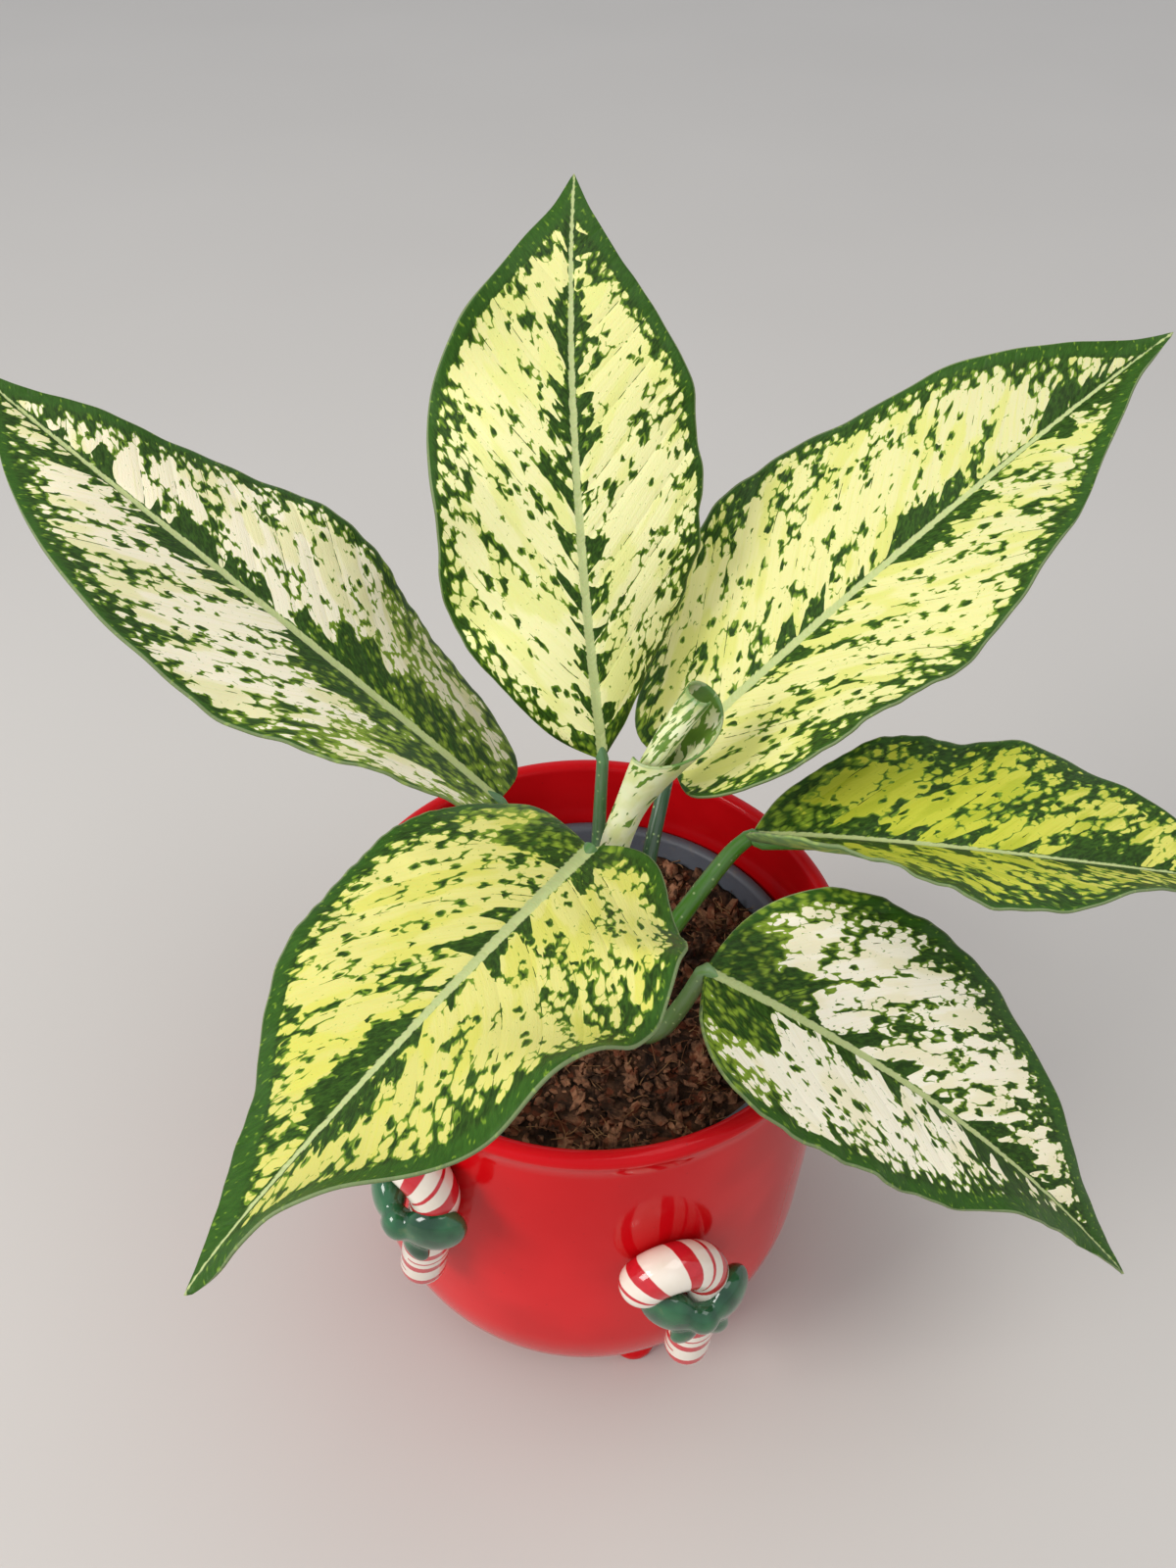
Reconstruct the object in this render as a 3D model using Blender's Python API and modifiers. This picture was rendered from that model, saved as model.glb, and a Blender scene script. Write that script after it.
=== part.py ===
"""Potted Chinese evergreen in a glazed planter with candy cane ornaments. Metres, +Z up.

The origin is on the planter's axis, on the surface that its feet stand on. The front is
towards -Y, and azimuths of the ornaments are counted from the front, towards +X.
"""

import math

import bmesh
import bpy
import numpy as np
from mathutils import Matrix, Vector

# General
GAP = 0.0003
WELD = 0.00001

# Planter
PLANTER_RADIUS = 0.0615
LIP_RADIUS = 0.0021
LIP_HEIGHT = 0.1184
NECK_SHARE = 0.970
BELLY_SHARE = 0.015
BASE_SHARE = 0.72
CORNER_HEIGHT = 0.034
UNDERSIDE_HEIGHT = 0.002
WALL = 0.0034
FLOOR_THICKNESS = 0.005
PLANTER_SIDES = 44
OUTER_HEIGHTS = (0.113, 0.092, 0.070, 0.050, CORNER_HEIGHT, 0.024, 0.016, 0.010, 0.0055, 0.003)
INNER_HEIGHTS = (0.012, 0.021, CORNER_HEIGHT, 0.070, 0.108)
FOOT_COUNT = 3
FOOT_AZIMUTH = 17.0
FOOT_CIRCLE = 0.0475
FOOT_RADIUS = 0.006
FOOT_TOP = 0.006
FOOT_SIDES = 16

# Nursery pot and soil
NURSERY_OFFSET = (0.0015, 0.0025)
NURSERY_RIM_RADIUS = 0.053
NURSERY_TOP_RADIUS = 0.0512
NURSERY_BASE_RADIUS = 0.037
NURSERY_HEIGHT = 0.094
NURSERY_RIM_DEPTH = 0.006
NURSERY_WALL = 0.0012
NURSERY_SIDES = 32
DRAIN_COUNT = 4
DRAIN_AZIMUTH = 19.0
DRAIN_CIRCLE = 0.024
DRAIN_RADIUS = 0.004
DRAIN_SIDES = 12
SOIL_DEPTH_BELOW_RIM = 0.0055
SOIL_MOUND = 0.003
SOIL_RINGS = 5

# Stem, crown and leaf stalks
STEM_FOOT = (0.0056, -0.0049, 0.082)
STEM_RADIUS = 0.0072
STEM_HOLE_SIDES = 16
COLLAR_HEIGHT = 0.001
KNUCKLE_SHARE = 0.5
KNUCKLE_RADIUS = 0.0062
CROWN_RADIUS = 0.0046
STEM_TOP_RADIUS = 0.0036
STEM_TOP_LENGTH = 0.0025
STALK_STEPS = 3
STALK_STANDOFF = 0.0008
STALK_TAPER = 1.5

# New leaf, still rolled
ROLL_FOOT = (0.0036, 0.0021, 0.1148)
ROLL_TIP = (0.0226, 0.0091, 0.1848)
ROLL_BEND = (-0.0070, -0.0010, 0.0)
ROLL_ROWS = 14
ROLL_COLUMNS = 20
ROLL_CORE_RADIUS = 0.0016
ROLL_FOOT_RADIUS = 0.0032
ROLL_WIDENING = 0.0012
ROLL_THICKNESS = 0.0007
ROLL_EDGE_AZIMUTH = 200.0
ROLL_WRAP = 495.0
ROLL_SLANT = 0.22
ROLL_SLANT_SHARES = (0.45, 1.0)
ROLL_OPENS_AT = 0.55
ROLL_FLARE = 0.0045
ROLL_FLARE_SHARES = (0.25, 0.60)

# Leaf blades
BLADE_THICKNESS = 0.0008
BLADE_ROWS = 18
BLADE_COLUMNS = 8
LOBE_PLACE = 0.05
LOBE_BEND = 1.5
CURL_REACH = 0.25
CURL_BEND = 1.5
FOLD_EASE = 0.6
TIP_PLACE = 0.8
ARC_STEPS = 8
OUTLINE_PLACES = (0.0, 0.035, 0.09, 0.18, 0.30, 0.43, 0.56, 0.68, 0.78, 0.86, 0.93, 1.0)
OUTLINE_WIDTHS = (0.0, 0.36, 0.61, 0.86, 1.0, 1.03, 0.97, 0.79, 0.53, 0.32, 0.13, 0.0)

# Each leaf grows from its base along a heading. Angles are in degrees. A pair holds the right
# side and the left side, and a wave is its height, its count along the leaf and its phase.
LEAVES = (
    dict(name="leaf_back", base=(0.0020, 0.0154, 0.1615), heading=107, rise=61, droop=22,
         bend=1.32, tip_droop=3, sweep=-20, length=0.128, ratio=0.48, roll=-16, twist=2.5,
         fold=(0, 0), curl=(-52, -75), uneven=-0.04, lobe=0.0, fullness=(1.22, 1.16),
         waves=((0.0007, 3.1, 0.08), (0.0031, 3.1, -0.13))),
    dict(name="leaf_left", base=(-0.0219, 0.0147, 0.1485), heading=167, rise=43.5, droop=19,
         bend=0.98, tip_droop=-7, sweep=-17, length=0.1473, ratio=0.47, roll=-14.5, twist=20,
         fold=(9, 10), curl=(-8, 32), uneven=-0.04, lobe=0.05, fullness=(0.89, 1.06),
         waves=((0.0029, 2.28, 0.24), (-0.0025, 2.4, 0.26))),
    dict(name="leaf_right_back", base=(0.0180, 0.0239, 0.1544), heading=30, rise=34.6, droop=5.9,
         bend=1.2, tip_droop=2.3, sweep=-3.3, length=0.1483, ratio=0.49, roll=3, twist=-17,
         fold=(13, 21.4), curl=(23.5, -1.5), uneven=-0.03, lobe=0.05, fullness=(0.83, 1.05),
         waves=((-0.0027, 3.2, -0.09), (0.0047, 1.9, 0.64))),
    dict(name="leaf_front_left", base=(-0.0005, -0.0085, 0.1575), heading=248.4, rise=23.5,
         droop=41.4, bend=1.25, tip_droop=13.2, sweep=-17.3, length=0.123, ratio=0.56, roll=12.7,
         twist=-55.3, fold=(17, 3.2), curl=(-18, 17), uneven=-0.04, lobe=0.07,
         fullness=(0.91, 1.14), waves=((0.0011, 2.9, -0.35), (0.0043, 3.57, 0.19))),
    dict(name="leaf_front_right", base=(0.0242, -0.0266, 0.1399), heading=-14.3, rise=-22,
         droop=24.6, bend=1.24, tip_droop=-3, sweep=-8.1, length=0.126, ratio=0.51, roll=-17.4,
         twist=33.2, fold=(14, 21.5), curl=(42, 7.5), uneven=-0.08, lobe=0.0,
         fullness=(0.59, 0.9), waves=((0.0019, 2.7, 0.38), (0.0007, 2.95, 0.13))),
    dict(name="leaf_right", base=(0.0373, 0.0141, 0.1391), heading=-15.6, rise=21.7, droop=33.2,
         bend=0.52, tip_droop=-0.3, sweep=18.7, length=0.121, ratio=0.48, roll=3.3, twist=5.3,
         fold=(25.3, 26.6), curl=(71, 60), uneven=-0.04, lobe=0.0, fullness=(0.81, 1.21),
         waves=((0.0028, 2.22, 0.69), (0.0014, 3.45, 0.41))),
)

# Each stalk's route ends at its leaf's base. The radii are at the crown and at the leaf.
STALKS = {
    "leaf_back": dict(route=((0.0046, 0.0001, 0.1068), (0.0018, 0.0076, 0.1158),
                             (0.0014, 0.0106, 0.1298), (0.0016, 0.0131, 0.1458)),
                      radii=(0.0026, 0.0014)),
    "leaf_left": dict(route=((0.0036, -0.0039, 0.1068), (-0.0024, 0.0001, 0.1168),
                             (-0.0094, 0.0051, 0.1308), (-0.0179, 0.0113, 0.1433)),
                      radii=(0.0028, 0.0017)),
    "leaf_right_back": dict(route=((0.0076, -0.0039, 0.1068), (0.0114, 0.0016, 0.1198),
                                   (0.0131, 0.0081, 0.1348)),
                            radii=(0.0028, 0.0017)),
    "leaf_front_left": dict(route=((0.0046, -0.0069, 0.1068), (0.0031, -0.0094, 0.1188),
                                   (0.0016, -0.0099, 0.1348), (0.0001, -0.0094, 0.1488)),
                            radii=(0.0028, 0.0018)),
    "leaf_front_right": dict(route=((0.0066, -0.0079, 0.1058), (0.0111, -0.0199, 0.1088),
                                    (0.0156, -0.0264, 0.1178), (0.0201, -0.0279, 0.1293)),
                             radii=(0.0030, 0.0018)),
    "leaf_right": dict(route=((0.0071, -0.0063, 0.1049), (0.0121, -0.0064, 0.1118),
                              (0.0196, -0.0009, 0.1238), (0.0316, 0.0106, 0.1348)),
                       radii=(0.0030, 0.0019)),
}

# Candy canes and bows on the wall, three low ones and three high ones in turn
CANE_PAIRS = 3
LOW_CANE = dict(azimuth=16.8, top=0.085, lean=3.4)
HIGH_CANE = dict(azimuth=80.8, top=0.1125, lean=10.0)
CANE_RADIUS = 0.0055
CANE_BEND_RADIUS = 0.0083
CANE_LENGTH = 0.055
CANE_STEPS = 20
CANE_END_SHARES = (0.45, 0.86)
BOW_BELOW_TOP = 0.0195
BOW_SIDEWAYS = 0.0065
BOW_SEGMENTS = 8
BOW_RINGS = 6
KNOT_SIZE = (0.0036, 0.0032, 0.0042)
LOOP_SIZE = (0.0066, 0.0036, 0.0062)
LOOP_PLACE = (0.0072, 0.0042, 0.0004)
LOOP_SWEEP = 38.0
LOOP_LIFT = 6.0
TAIL_SIZE = (0.0030, 0.0022, 0.0046)
TAIL_PLACE = (0.0036, 0.0012, -0.0066)
TAIL_TURN = 28.0


def clear_scene():
    for item in list(bpy.data.objects):
        bpy.data.objects.remove(item, do_unlink=True)


def make_collection(name):
    collection = bpy.data.collections.new(name)
    bpy.context.scene.collection.children.link(collection)
    return collection


def linear(code):
    """Linear colour of a six-digit sRGB code."""
    values = []
    for place in (0, 2, 4):
        share = int(code[place:place + 2], 16) / 255
        values.append(share / 12.92 if share <= 0.04045 else ((share + 0.055) / 1.055) ** 2.4)
    return (*values, 1.0)


def make_material(name, code, roughness, coat=0.0):
    material = bpy.data.materials.new(name)
    material.use_nodes = True
    shader = material.node_tree.nodes["Principled BSDF"]
    shader.inputs["Base Color"].default_value = linear(code)
    shader.inputs["Roughness"].default_value = roughness
    shader.inputs["Metallic"].default_value = 0.0
    shader.inputs["Coat Weight"].default_value = coat
    material.diffuse_color = linear(code)
    return material


def add_object(name, mesh, collection, material=None):
    item = bpy.data.objects.new(name, mesh)
    collection.objects.link(item)
    if material:
        mesh.materials.append(material)
    return item


def mesh_from(work, name):
    mesh = bpy.data.meshes.new(name)
    work.to_mesh(mesh)
    work.free()
    return mesh


def shade(item, sharp_angle=40.0):
    item.data.shade_smooth()
    item.data.set_sharp_from_angle(angle=math.radians(sharp_angle))


def as_cutter(item):
    item.hide_render = True
    item.display_type = "WIRE"
    return item


def combine(item, other, operation):
    step = item.modifiers.new(operation.lower() + " " + other.name, "BOOLEAN")
    step.operation = operation
    step.object = other
    step.solver = "EXACT"


def turned(name, profile, sides, collection, material=None):
    """Turn an outline of (radius, height) points, outer side first, about Z.

    The outline closes on its first point, and where it runs along the axis it has no edge.
    """
    work = bmesh.new()
    points = [work.verts.new((radius, 0.0, height)) for radius, height in profile]
    for first, second in zip(points, points[1:] + points[:1]):
        if first.co.x > 0 or second.co.x > 0:
            work.edges.new((first, second))
    item = add_object(name, mesh_from(work, name), collection, material)
    screw = item.modifiers.new("turn", "SCREW")
    screw.steps = sides
    screw.render_steps = sides
    screw.use_merge_vertices = True
    screw.merge_threshold = WELD
    return item


def cylinder(name, radius, low, high, sides, collection, centre=(0.0, 0.0)):
    work = bmesh.new()
    place = Matrix.Translation((centre[0], centre[1], (low + high) / 2))
    bmesh.ops.create_cone(work, cap_ends=True, segments=sides, radius1=radius,
                          radius2=radius, depth=high - low, matrix=place)
    return add_object(name, mesh_from(work, name), collection)


def tube(name, points, radii, collection, resolution=2):
    """A round bar along points, made a welded mesh that can be cut and joined."""
    curve = bpy.data.curves.new(name, "CURVE")
    curve.dimensions = "3D"
    curve.bevel_depth = 1.0
    curve.bevel_resolution = resolution
    curve.use_fill_caps = True
    spline = curve.splines.new("POLY")
    spline.points.add(len(points) - 1)
    for knot, point, radius in zip(spline.points, points, radii):
        knot.co = (*point, 1.0)
        knot.radius = radius
    source = bpy.data.objects.new(name + " path", curve)
    collection.objects.link(source)
    view = bpy.context.evaluated_depsgraph_get()
    mesh = bpy.data.meshes.new_from_object(source.evaluated_get(view))
    item = bpy.data.objects.new(name, mesh)
    item.matrix_world = source.matrix_world
    collection.objects.link(item)
    bpy.data.objects.remove(source, do_unlink=True)
    work = bmesh.new()
    work.from_mesh(mesh)
    bmesh.ops.remove_doubles(work, verts=work.verts, dist=WELD)
    bmesh.ops.recalc_face_normals(work, faces=work.faces)
    work.to_mesh(mesh)
    work.free()
    mesh.name = name
    return item


def smooth_route(points, steps):
    """Points along a Catmull-Rom curve through the given ones, with steps on each stretch."""
    ends = [2 * Vector(points[0]) - Vector(points[1]), 2 * Vector(points[-1]) - Vector(points[-2])]
    knots = [ends[0], *[Vector(point) for point in points], ends[1]]
    route = []
    for index in range(1, len(knots) - 2):
        before, start, end, after = knots[index - 1:index + 3]
        for step in range(steps):
            t = step / steps
            route.append(0.5 * (2 * start + (end - before) * t
                                + (2 * before - 5 * start + 4 * end - after) * t ** 2
                                + (3 * start - before - 3 * end + after) * t ** 3))
    route.append(knots[-2])
    return route


def arc(centre, radius, start, end, steps):
    """Points on a round stretch of a profile, angles in degrees from +X."""
    points = []
    for step in range(steps + 1):
        angle = math.radians(start + (end - start) * step / steps)
        points.append((centre[0] + radius * math.cos(angle), centre[1] + radius * math.sin(angle)))
    return points


def wall_radius(height):
    """Outer radius of the planter's wall: a slight belly over a large rounded corner."""
    side = PLANTER_RADIUS * (NECK_SHARE + BELLY_SHARE * math.sin(math.pi * height / LIP_HEIGHT))
    if height >= CORNER_HEIGHT:
        return side
    share = (CORNER_HEIGHT - height) / (CORNER_HEIGHT - UNDERSIDE_HEIGHT)
    foot = PLANTER_RADIUS * BASE_SHARE
    return foot + (side - foot) * math.sqrt(max(0.0, 1 - share ** 2))


def polar(radius, azimuth, height):
    """A point at an azimuth in degrees, counted from the front towards +X."""
    angle = math.radians(azimuth)
    return Vector((radius * math.sin(angle), -radius * math.cos(angle), height))


def planter_profile():
    lip = (PLANTER_RADIUS - LIP_RADIUS, LIP_HEIGHT)
    floor = UNDERSIDE_HEIGHT + FLOOR_THICKNESS
    profile = arc(lip, LIP_RADIUS, 90, -50, 6)
    for height in OUTER_HEIGHTS:
        profile.append((wall_radius(height), height))
    profile.append((PLANTER_RADIUS * BASE_SHARE, UNDERSIDE_HEIGHT))
    profile.append((0.0, UNDERSIDE_HEIGHT))
    profile.append((0.0, floor))
    profile.append((PLANTER_RADIUS * BASE_SHARE - WALL, floor))
    for height in INNER_HEIGHTS:
        profile.append((wall_radius(height) - WALL, height))
    profile += arc(lip, LIP_RADIUS, 180, 120, 2)
    return profile


def make_planter(parts, cutters, material):
    planter = turned("planter", planter_profile(), PLANTER_SIDES, parts, material)
    for index in range(FOOT_COUNT):
        spot = polar(FOOT_CIRCLE, FOOT_AZIMUTH + 360 * index / FOOT_COUNT, 0.0)
        foot = cylinder(f"planter foot {index + 1}", FOOT_RADIUS, 0.0, FOOT_TOP, FOOT_SIDES,
                        cutters, (spot.x, spot.y))
        as_cutter(foot)
        combine(planter, foot, "UNION")
    shade(planter)


def nursery_floor():
    return UNDERSIDE_HEIGHT + FLOOR_THICKNESS + GAP


def nursery_wall_radius(height):
    share = (height - nursery_floor()) / NURSERY_HEIGHT
    return NURSERY_BASE_RADIUS + (NURSERY_TOP_RADIUS - NURSERY_BASE_RADIUS) * share


def make_nursery_pot(parts, cutters, material):
    low = nursery_floor()
    top = low + NURSERY_HEIGHT
    skirt = top - NURSERY_RIM_DEPTH
    inner_floor = low + NURSERY_WALL
    inner_top = NURSERY_TOP_RADIUS - NURSERY_WALL
    profile = [
        (inner_top + NURSERY_WALL / 2, top),
        (NURSERY_RIM_RADIUS, top),
        (NURSERY_RIM_RADIUS, skirt),
        (nursery_wall_radius(skirt), skirt),
        (NURSERY_BASE_RADIUS + NURSERY_WALL, low + NURSERY_WALL),
        (NURSERY_BASE_RADIUS, low),
        (0.0, low),
        (0.0, inner_floor),
        (NURSERY_BASE_RADIUS - NURSERY_WALL, inner_floor),
        (inner_top, top - NURSERY_WALL),
    ]
    pot = turned("nursery_pot", profile, NURSERY_SIDES, parts, material)
    for index in range(DRAIN_COUNT):
        spot = polar(DRAIN_CIRCLE, DRAIN_AZIMUTH + 360 * index / DRAIN_COUNT, 0.0)
        drain = cylinder(f"drain cutter {index + 1}", DRAIN_RADIUS, low - NURSERY_WALL,
                         inner_floor + NURSERY_WALL, DRAIN_SIDES, cutters, (spot.x, spot.y))
        as_cutter(drain)
        combine(pot, drain, "DIFFERENCE")
        drain.location = (*NURSERY_OFFSET, 0.0)
    pot.location = (*NURSERY_OFFSET, 0.0)
    shade(pot)


def soil_height(share):
    """Height of the mounded soil surface, share 0 at the middle and 1 at the wall."""
    top = nursery_floor() + NURSERY_HEIGHT - SOIL_DEPTH_BELOW_RIM
    return top + SOIL_MOUND * (0.5 + 0.5 * math.cos(math.pi * share))


def make_soil(parts, cutters, material):
    low = nursery_floor() + NURSERY_WALL + GAP
    top = soil_height(1.0)
    foot_radius = nursery_wall_radius(low) - NURSERY_WALL - 3 * GAP
    top_radius = nursery_wall_radius(top) - NURSERY_WALL - 2 * GAP
    shares = [ring / SOIL_RINGS for ring in range(SOIL_RINGS + 1)]
    profile = [(top_radius * share, soil_height(share)) for share in shares]
    profile += [(foot_radius, low), (0.0, low)]
    soil = turned("soil", profile, NURSERY_SIDES, parts, material)
    soil.location = (*NURSERY_OFFSET, 0.0)
    hole = cylinder("stem hole cutter", STEM_RADIUS + GAP, STEM_FOOT[2] - GAP, ROLL_FOOT[2],
                    STEM_HOLE_SIDES, cutters, STEM_FOOT[:2])
    as_cutter(hole)
    combine(soil, hole, "DIFFERENCE")
    shade(soil)


def roll_axis():
    """Unit vector up the rolled leaf, and its length."""
    span = Vector(ROLL_TIP) - Vector(ROLL_FOOT)
    return span.normalized(), span.length


def make_stem(parts, cutters, material):
    axis, _ = roll_axis()
    foot = Vector(STEM_FOOT)
    crown = Vector(ROLL_FOOT)
    collar = Vector((foot.x, foot.y, soil_height(0.0) + COLLAR_HEIGHT))
    knuckle = collar.lerp(crown, KNUCKLE_SHARE)
    points = [foot, collar, knuckle, crown, crown + axis * STEM_TOP_LENGTH]
    radii = [STEM_RADIUS, STEM_RADIUS, KNUCKLE_RADIUS, CROWN_RADIUS, STEM_TOP_RADIUS]
    stem = tube("stem", points, radii, parts, 3)
    stem.data.materials.append(material)
    for leaf in LEAVES:
        stalk = STALKS[leaf["name"]]
        base = Vector(leaf["base"])
        last = Vector(stalk["route"][-1])
        end = base - (base - last).normalized() * STALK_STANDOFF
        route = smooth_route([*stalk["route"], end], STALK_STEPS)
        start, finish = stalk["radii"]
        widths = []
        for index in range(len(route)):
            share = index / (len(route) - 1)
            widths.append(finish + (start - finish) * (1 - share) ** STALK_TAPER)
        piece = as_cutter(tube("stalk of " + leaf["name"], route, widths, cutters))
        combine(stem, piece, "UNION")
    shade(stem)


def ease(value, low, high):
    """0 below low, 1 above high and a soft step between."""
    share = min(1.0, max(0.0, (value - low) / (high - low)))
    return share * share * (3 - 2 * share)


def roll_point(foot, axis, length, across, v, u):
    """A point of the rolled leaf: v runs up it, and u from its inner edge to its free edge."""
    height = v * (1 - ROLL_SLANT * ease(u, *ROLL_SLANT_SHARES))
    outside = ROLL_FOOT_RADIUS + ROLL_WIDENING * height
    radius = ROLL_CORE_RADIUS + (outside - ROLL_CORE_RADIUS) * u
    radius += ROLL_FLARE * ease(height, ROLL_OPENS_AT, 1.0) * ease(u, *ROLL_FLARE_SHARES)
    turn = math.radians(ROLL_EDGE_AZIMUTH + (1 - u) * ROLL_WRAP)
    out = across * math.cos(turn) + axis.cross(across) * math.sin(turn)
    bend = Vector(ROLL_BEND) * math.sin(math.pi * height)
    return foot + axis * (height * length) + bend + out * radius


def make_new_leaf(parts, material):
    """A leaf still rolled into a scroll, its mouth cut aslant and its free edge flaring."""
    axis, length = roll_axis()
    foot = Vector(ROLL_FOOT) + axis * (STEM_TOP_LENGTH + GAP)
    length -= STEM_TOP_LENGTH
    across = Vector((1.0, 0.0, 0.0))
    across = (across - axis * across.dot(axis)).normalized()
    work = bmesh.new()
    bmesh.ops.create_grid(work, x_segments=ROLL_ROWS, y_segments=ROLL_COLUMNS, size=0.5)
    for vertex in work.verts:
        vertex.co = roll_point(foot, axis, length, across, vertex.co.x + 0.5, vertex.co.y + 0.5)
    bmesh.ops.triangulate(work, faces=work.faces)
    leaf = add_object("new_leaf", mesh_from(work, "new_leaf"), parts, material)
    shell = leaf.modifiers.new("thickness", "SOLIDIFY")
    shell.thickness = ROLL_THICKNESS
    shell.offset = 0.0
    shade(leaf)


def outline_width(t):
    """Half width of a leaf along its length, by a cubic that never overshoots its points."""
    places = np.array(OUTLINE_PLACES)
    widths = np.array(OUTLINE_WIDTHS)
    spans = np.diff(places)
    slopes = np.diff(widths) / spans
    grades = np.zeros(len(places))
    for index in range(1, len(places) - 1):
        before, after = slopes[index - 1], slopes[index]
        if before * after > 0:
            first = 2 * spans[index] + spans[index - 1]
            second = spans[index] + 2 * spans[index - 1]
            grades[index] = (first + second) / (first / before + second / after)
    grades[0] = 1.5 * slopes[0]
    grades[-1] = slopes[-1]
    index = int(np.clip(np.searchsorted(places, t, side="right") - 1, 0, len(spans) - 1))
    x = (t - places[index]) / spans[index]
    start = widths[index] * (1 + 2 * x) * (1 - x) ** 2
    end = widths[index + 1] * x * x * (3 - 2 * x)
    bend = grades[index] * x * (1 - x) ** 2 + grades[index + 1] * x * x * (x - 1)
    return start + end + spans[index] * bend


def leaf_frame(leaf, t):
    """Directions along, across and out of a blade at a place t along its midrib."""
    tip_share = max(0.0, (t - TIP_PLACE) / (1 - TIP_PLACE))
    rise = leaf["rise"] - leaf["droop"] * t ** leaf["bend"] - leaf["tip_droop"] * tip_share ** 2
    rise = math.radians(rise)
    heading = math.radians(leaf["heading"] + leaf["sweep"] * t)
    along = Vector((math.cos(rise) * math.cos(heading), math.cos(rise) * math.sin(heading),
                    math.sin(rise)))
    level = Vector((math.sin(heading), -math.cos(heading), 0.0))
    upward = level.cross(along)
    roll = math.radians(leaf["roll"] + leaf["twist"] * t)
    across = math.cos(roll) * level + math.sin(roll) * upward
    out = math.cos(roll) * upward - math.sin(roll) * level
    return along, across, out


def midrib_points(leaf, steps):
    """Evenly spaced points along a leaf's midrib."""
    points = [Vector(leaf["base"])]
    for step in range(steps):
        along = leaf_frame(leaf, (step + 0.5) / steps)[0]
        points.append(points[-1] + along * leaf["length"] / steps)
    return points


def blade_point(leaf, middle, t, s):
    """A point of the blade: t runs from base to tip, s from -1 on the left to 1 on the right."""
    along, across, out = leaf_frame(leaf, t)
    side = 1 if s > 0 else -1
    pick = 0 if s > 0 else 1
    reach = abs(s)
    half = leaf["ratio"] * leaf["length"] / 2 * outline_width(t ** leaf["fullness"][pick])
    half *= 1 + side * leaf["uneven"]
    curl = leaf["curl"][pick] * math.exp(-(t / CURL_REACH) ** 2)
    sideways = 0.0
    upwards = 0.0
    for step in range(ARC_STEPS):
        place = reach * (step + 0.5) / ARC_STEPS
        angle = leaf["fold"][pick] * (1 - FOLD_EASE * place) + curl * place ** CURL_BEND
        sideways += math.cos(math.radians(angle)) * reach / ARC_STEPS
        upwards += math.sin(math.radians(angle)) * reach / ARC_STEPS
    height, count, phase = leaf["waves"][pick]
    wave = height * reach ** 2 * math.sin(2 * math.pi * (count * t + phase))
    wave *= math.sqrt(max(0.0, math.sin(math.pi * t)))
    lobe = leaf["lobe"] * leaf["length"] * reach ** LOBE_BEND
    lobe *= t / LOBE_PLACE * math.exp(1 - t / LOBE_PLACE)
    return (middle + side * across * half * sideways + out * (half * upwards + wave)
            - along * lobe)


def make_blade(leaf, parts, material):
    steps = 3 * BLADE_ROWS
    midrib = midrib_points(leaf, steps)
    work = bmesh.new()
    bmesh.ops.create_grid(work, x_segments=BLADE_ROWS, y_segments=BLADE_COLUMNS, size=0.5)
    for vertex in work.verts:
        t = min(1.0, max(0.0, vertex.co.x + 0.5))
        s = -2 * vertex.co.y
        vertex.co = blade_point(leaf, midrib[round(t * steps)], t, s)
    bmesh.ops.remove_doubles(work, verts=work.verts, dist=WELD)
    bmesh.ops.triangulate(work, faces=work.faces)
    blade = add_object(leaf["name"], mesh_from(work, leaf["name"]), parts, material)
    shell = blade.modifiers.new("thickness", "SOLIDIFY")
    shell.thickness = BLADE_THICKNESS
    shell.offset = 0.0
    shade(blade)


def cane_route(azimuth, top, lean):
    """Centre line of a cane on the wall, from its foot up the stem and round the hook."""
    bend_height = top - CANE_RADIUS - CANE_BEND_RADIUS
    foot_height = top - CANE_LENGTH + CANE_RADIUS / 3
    straight = bend_height - foot_height
    whole = straight + math.pi * CANE_BEND_RADIUS
    pivot = top - CANE_LENGTH / 2
    route = []
    for step in range(CANE_STEPS + 1):
        distance = whole * step / CANE_STEPS
        if distance < straight:
            across, height = CANE_BEND_RADIUS, foot_height + distance
        else:
            angle = (distance - straight) / CANE_BEND_RADIUS
            across = CANE_BEND_RADIUS * math.cos(angle)
            height = bend_height + CANE_BEND_RADIUS * math.sin(angle)
        tilt = math.radians(lean)
        rise = height - pivot
        across, height = (across * math.cos(tilt) + rise * math.sin(tilt),
                          pivot + rise * math.cos(tilt) - across * math.sin(tilt))
        radius = wall_radius(height) + GAP + CANE_RADIUS
        route.append(polar(radius, azimuth + math.degrees(across / radius), height))
    return route


def cane_radii(extra=0.0):
    """Radius at each step of a cane, rounded off at both ends."""
    radii = []
    for step in range(CANE_STEPS + 1):
        to_end = min(step, CANE_STEPS - step)
        share = CANE_END_SHARES[to_end] if to_end < len(CANE_END_SHARES) else 1.0
        radii.append(CANE_RADIUS * share + extra)
    return radii


def ellipsoid(name, size, centre, turn, place, collection, material=None):
    work = bmesh.new()
    shape = Matrix.LocRotScale(Vector(centre), turn, Vector(size))
    bmesh.ops.create_uvsphere(work, u_segments=BOW_SEGMENTS, v_segments=BOW_RINGS, radius=1.0,
                              matrix=place @ shape)
    return add_object(name, mesh_from(work, name), collection, material)


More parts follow.
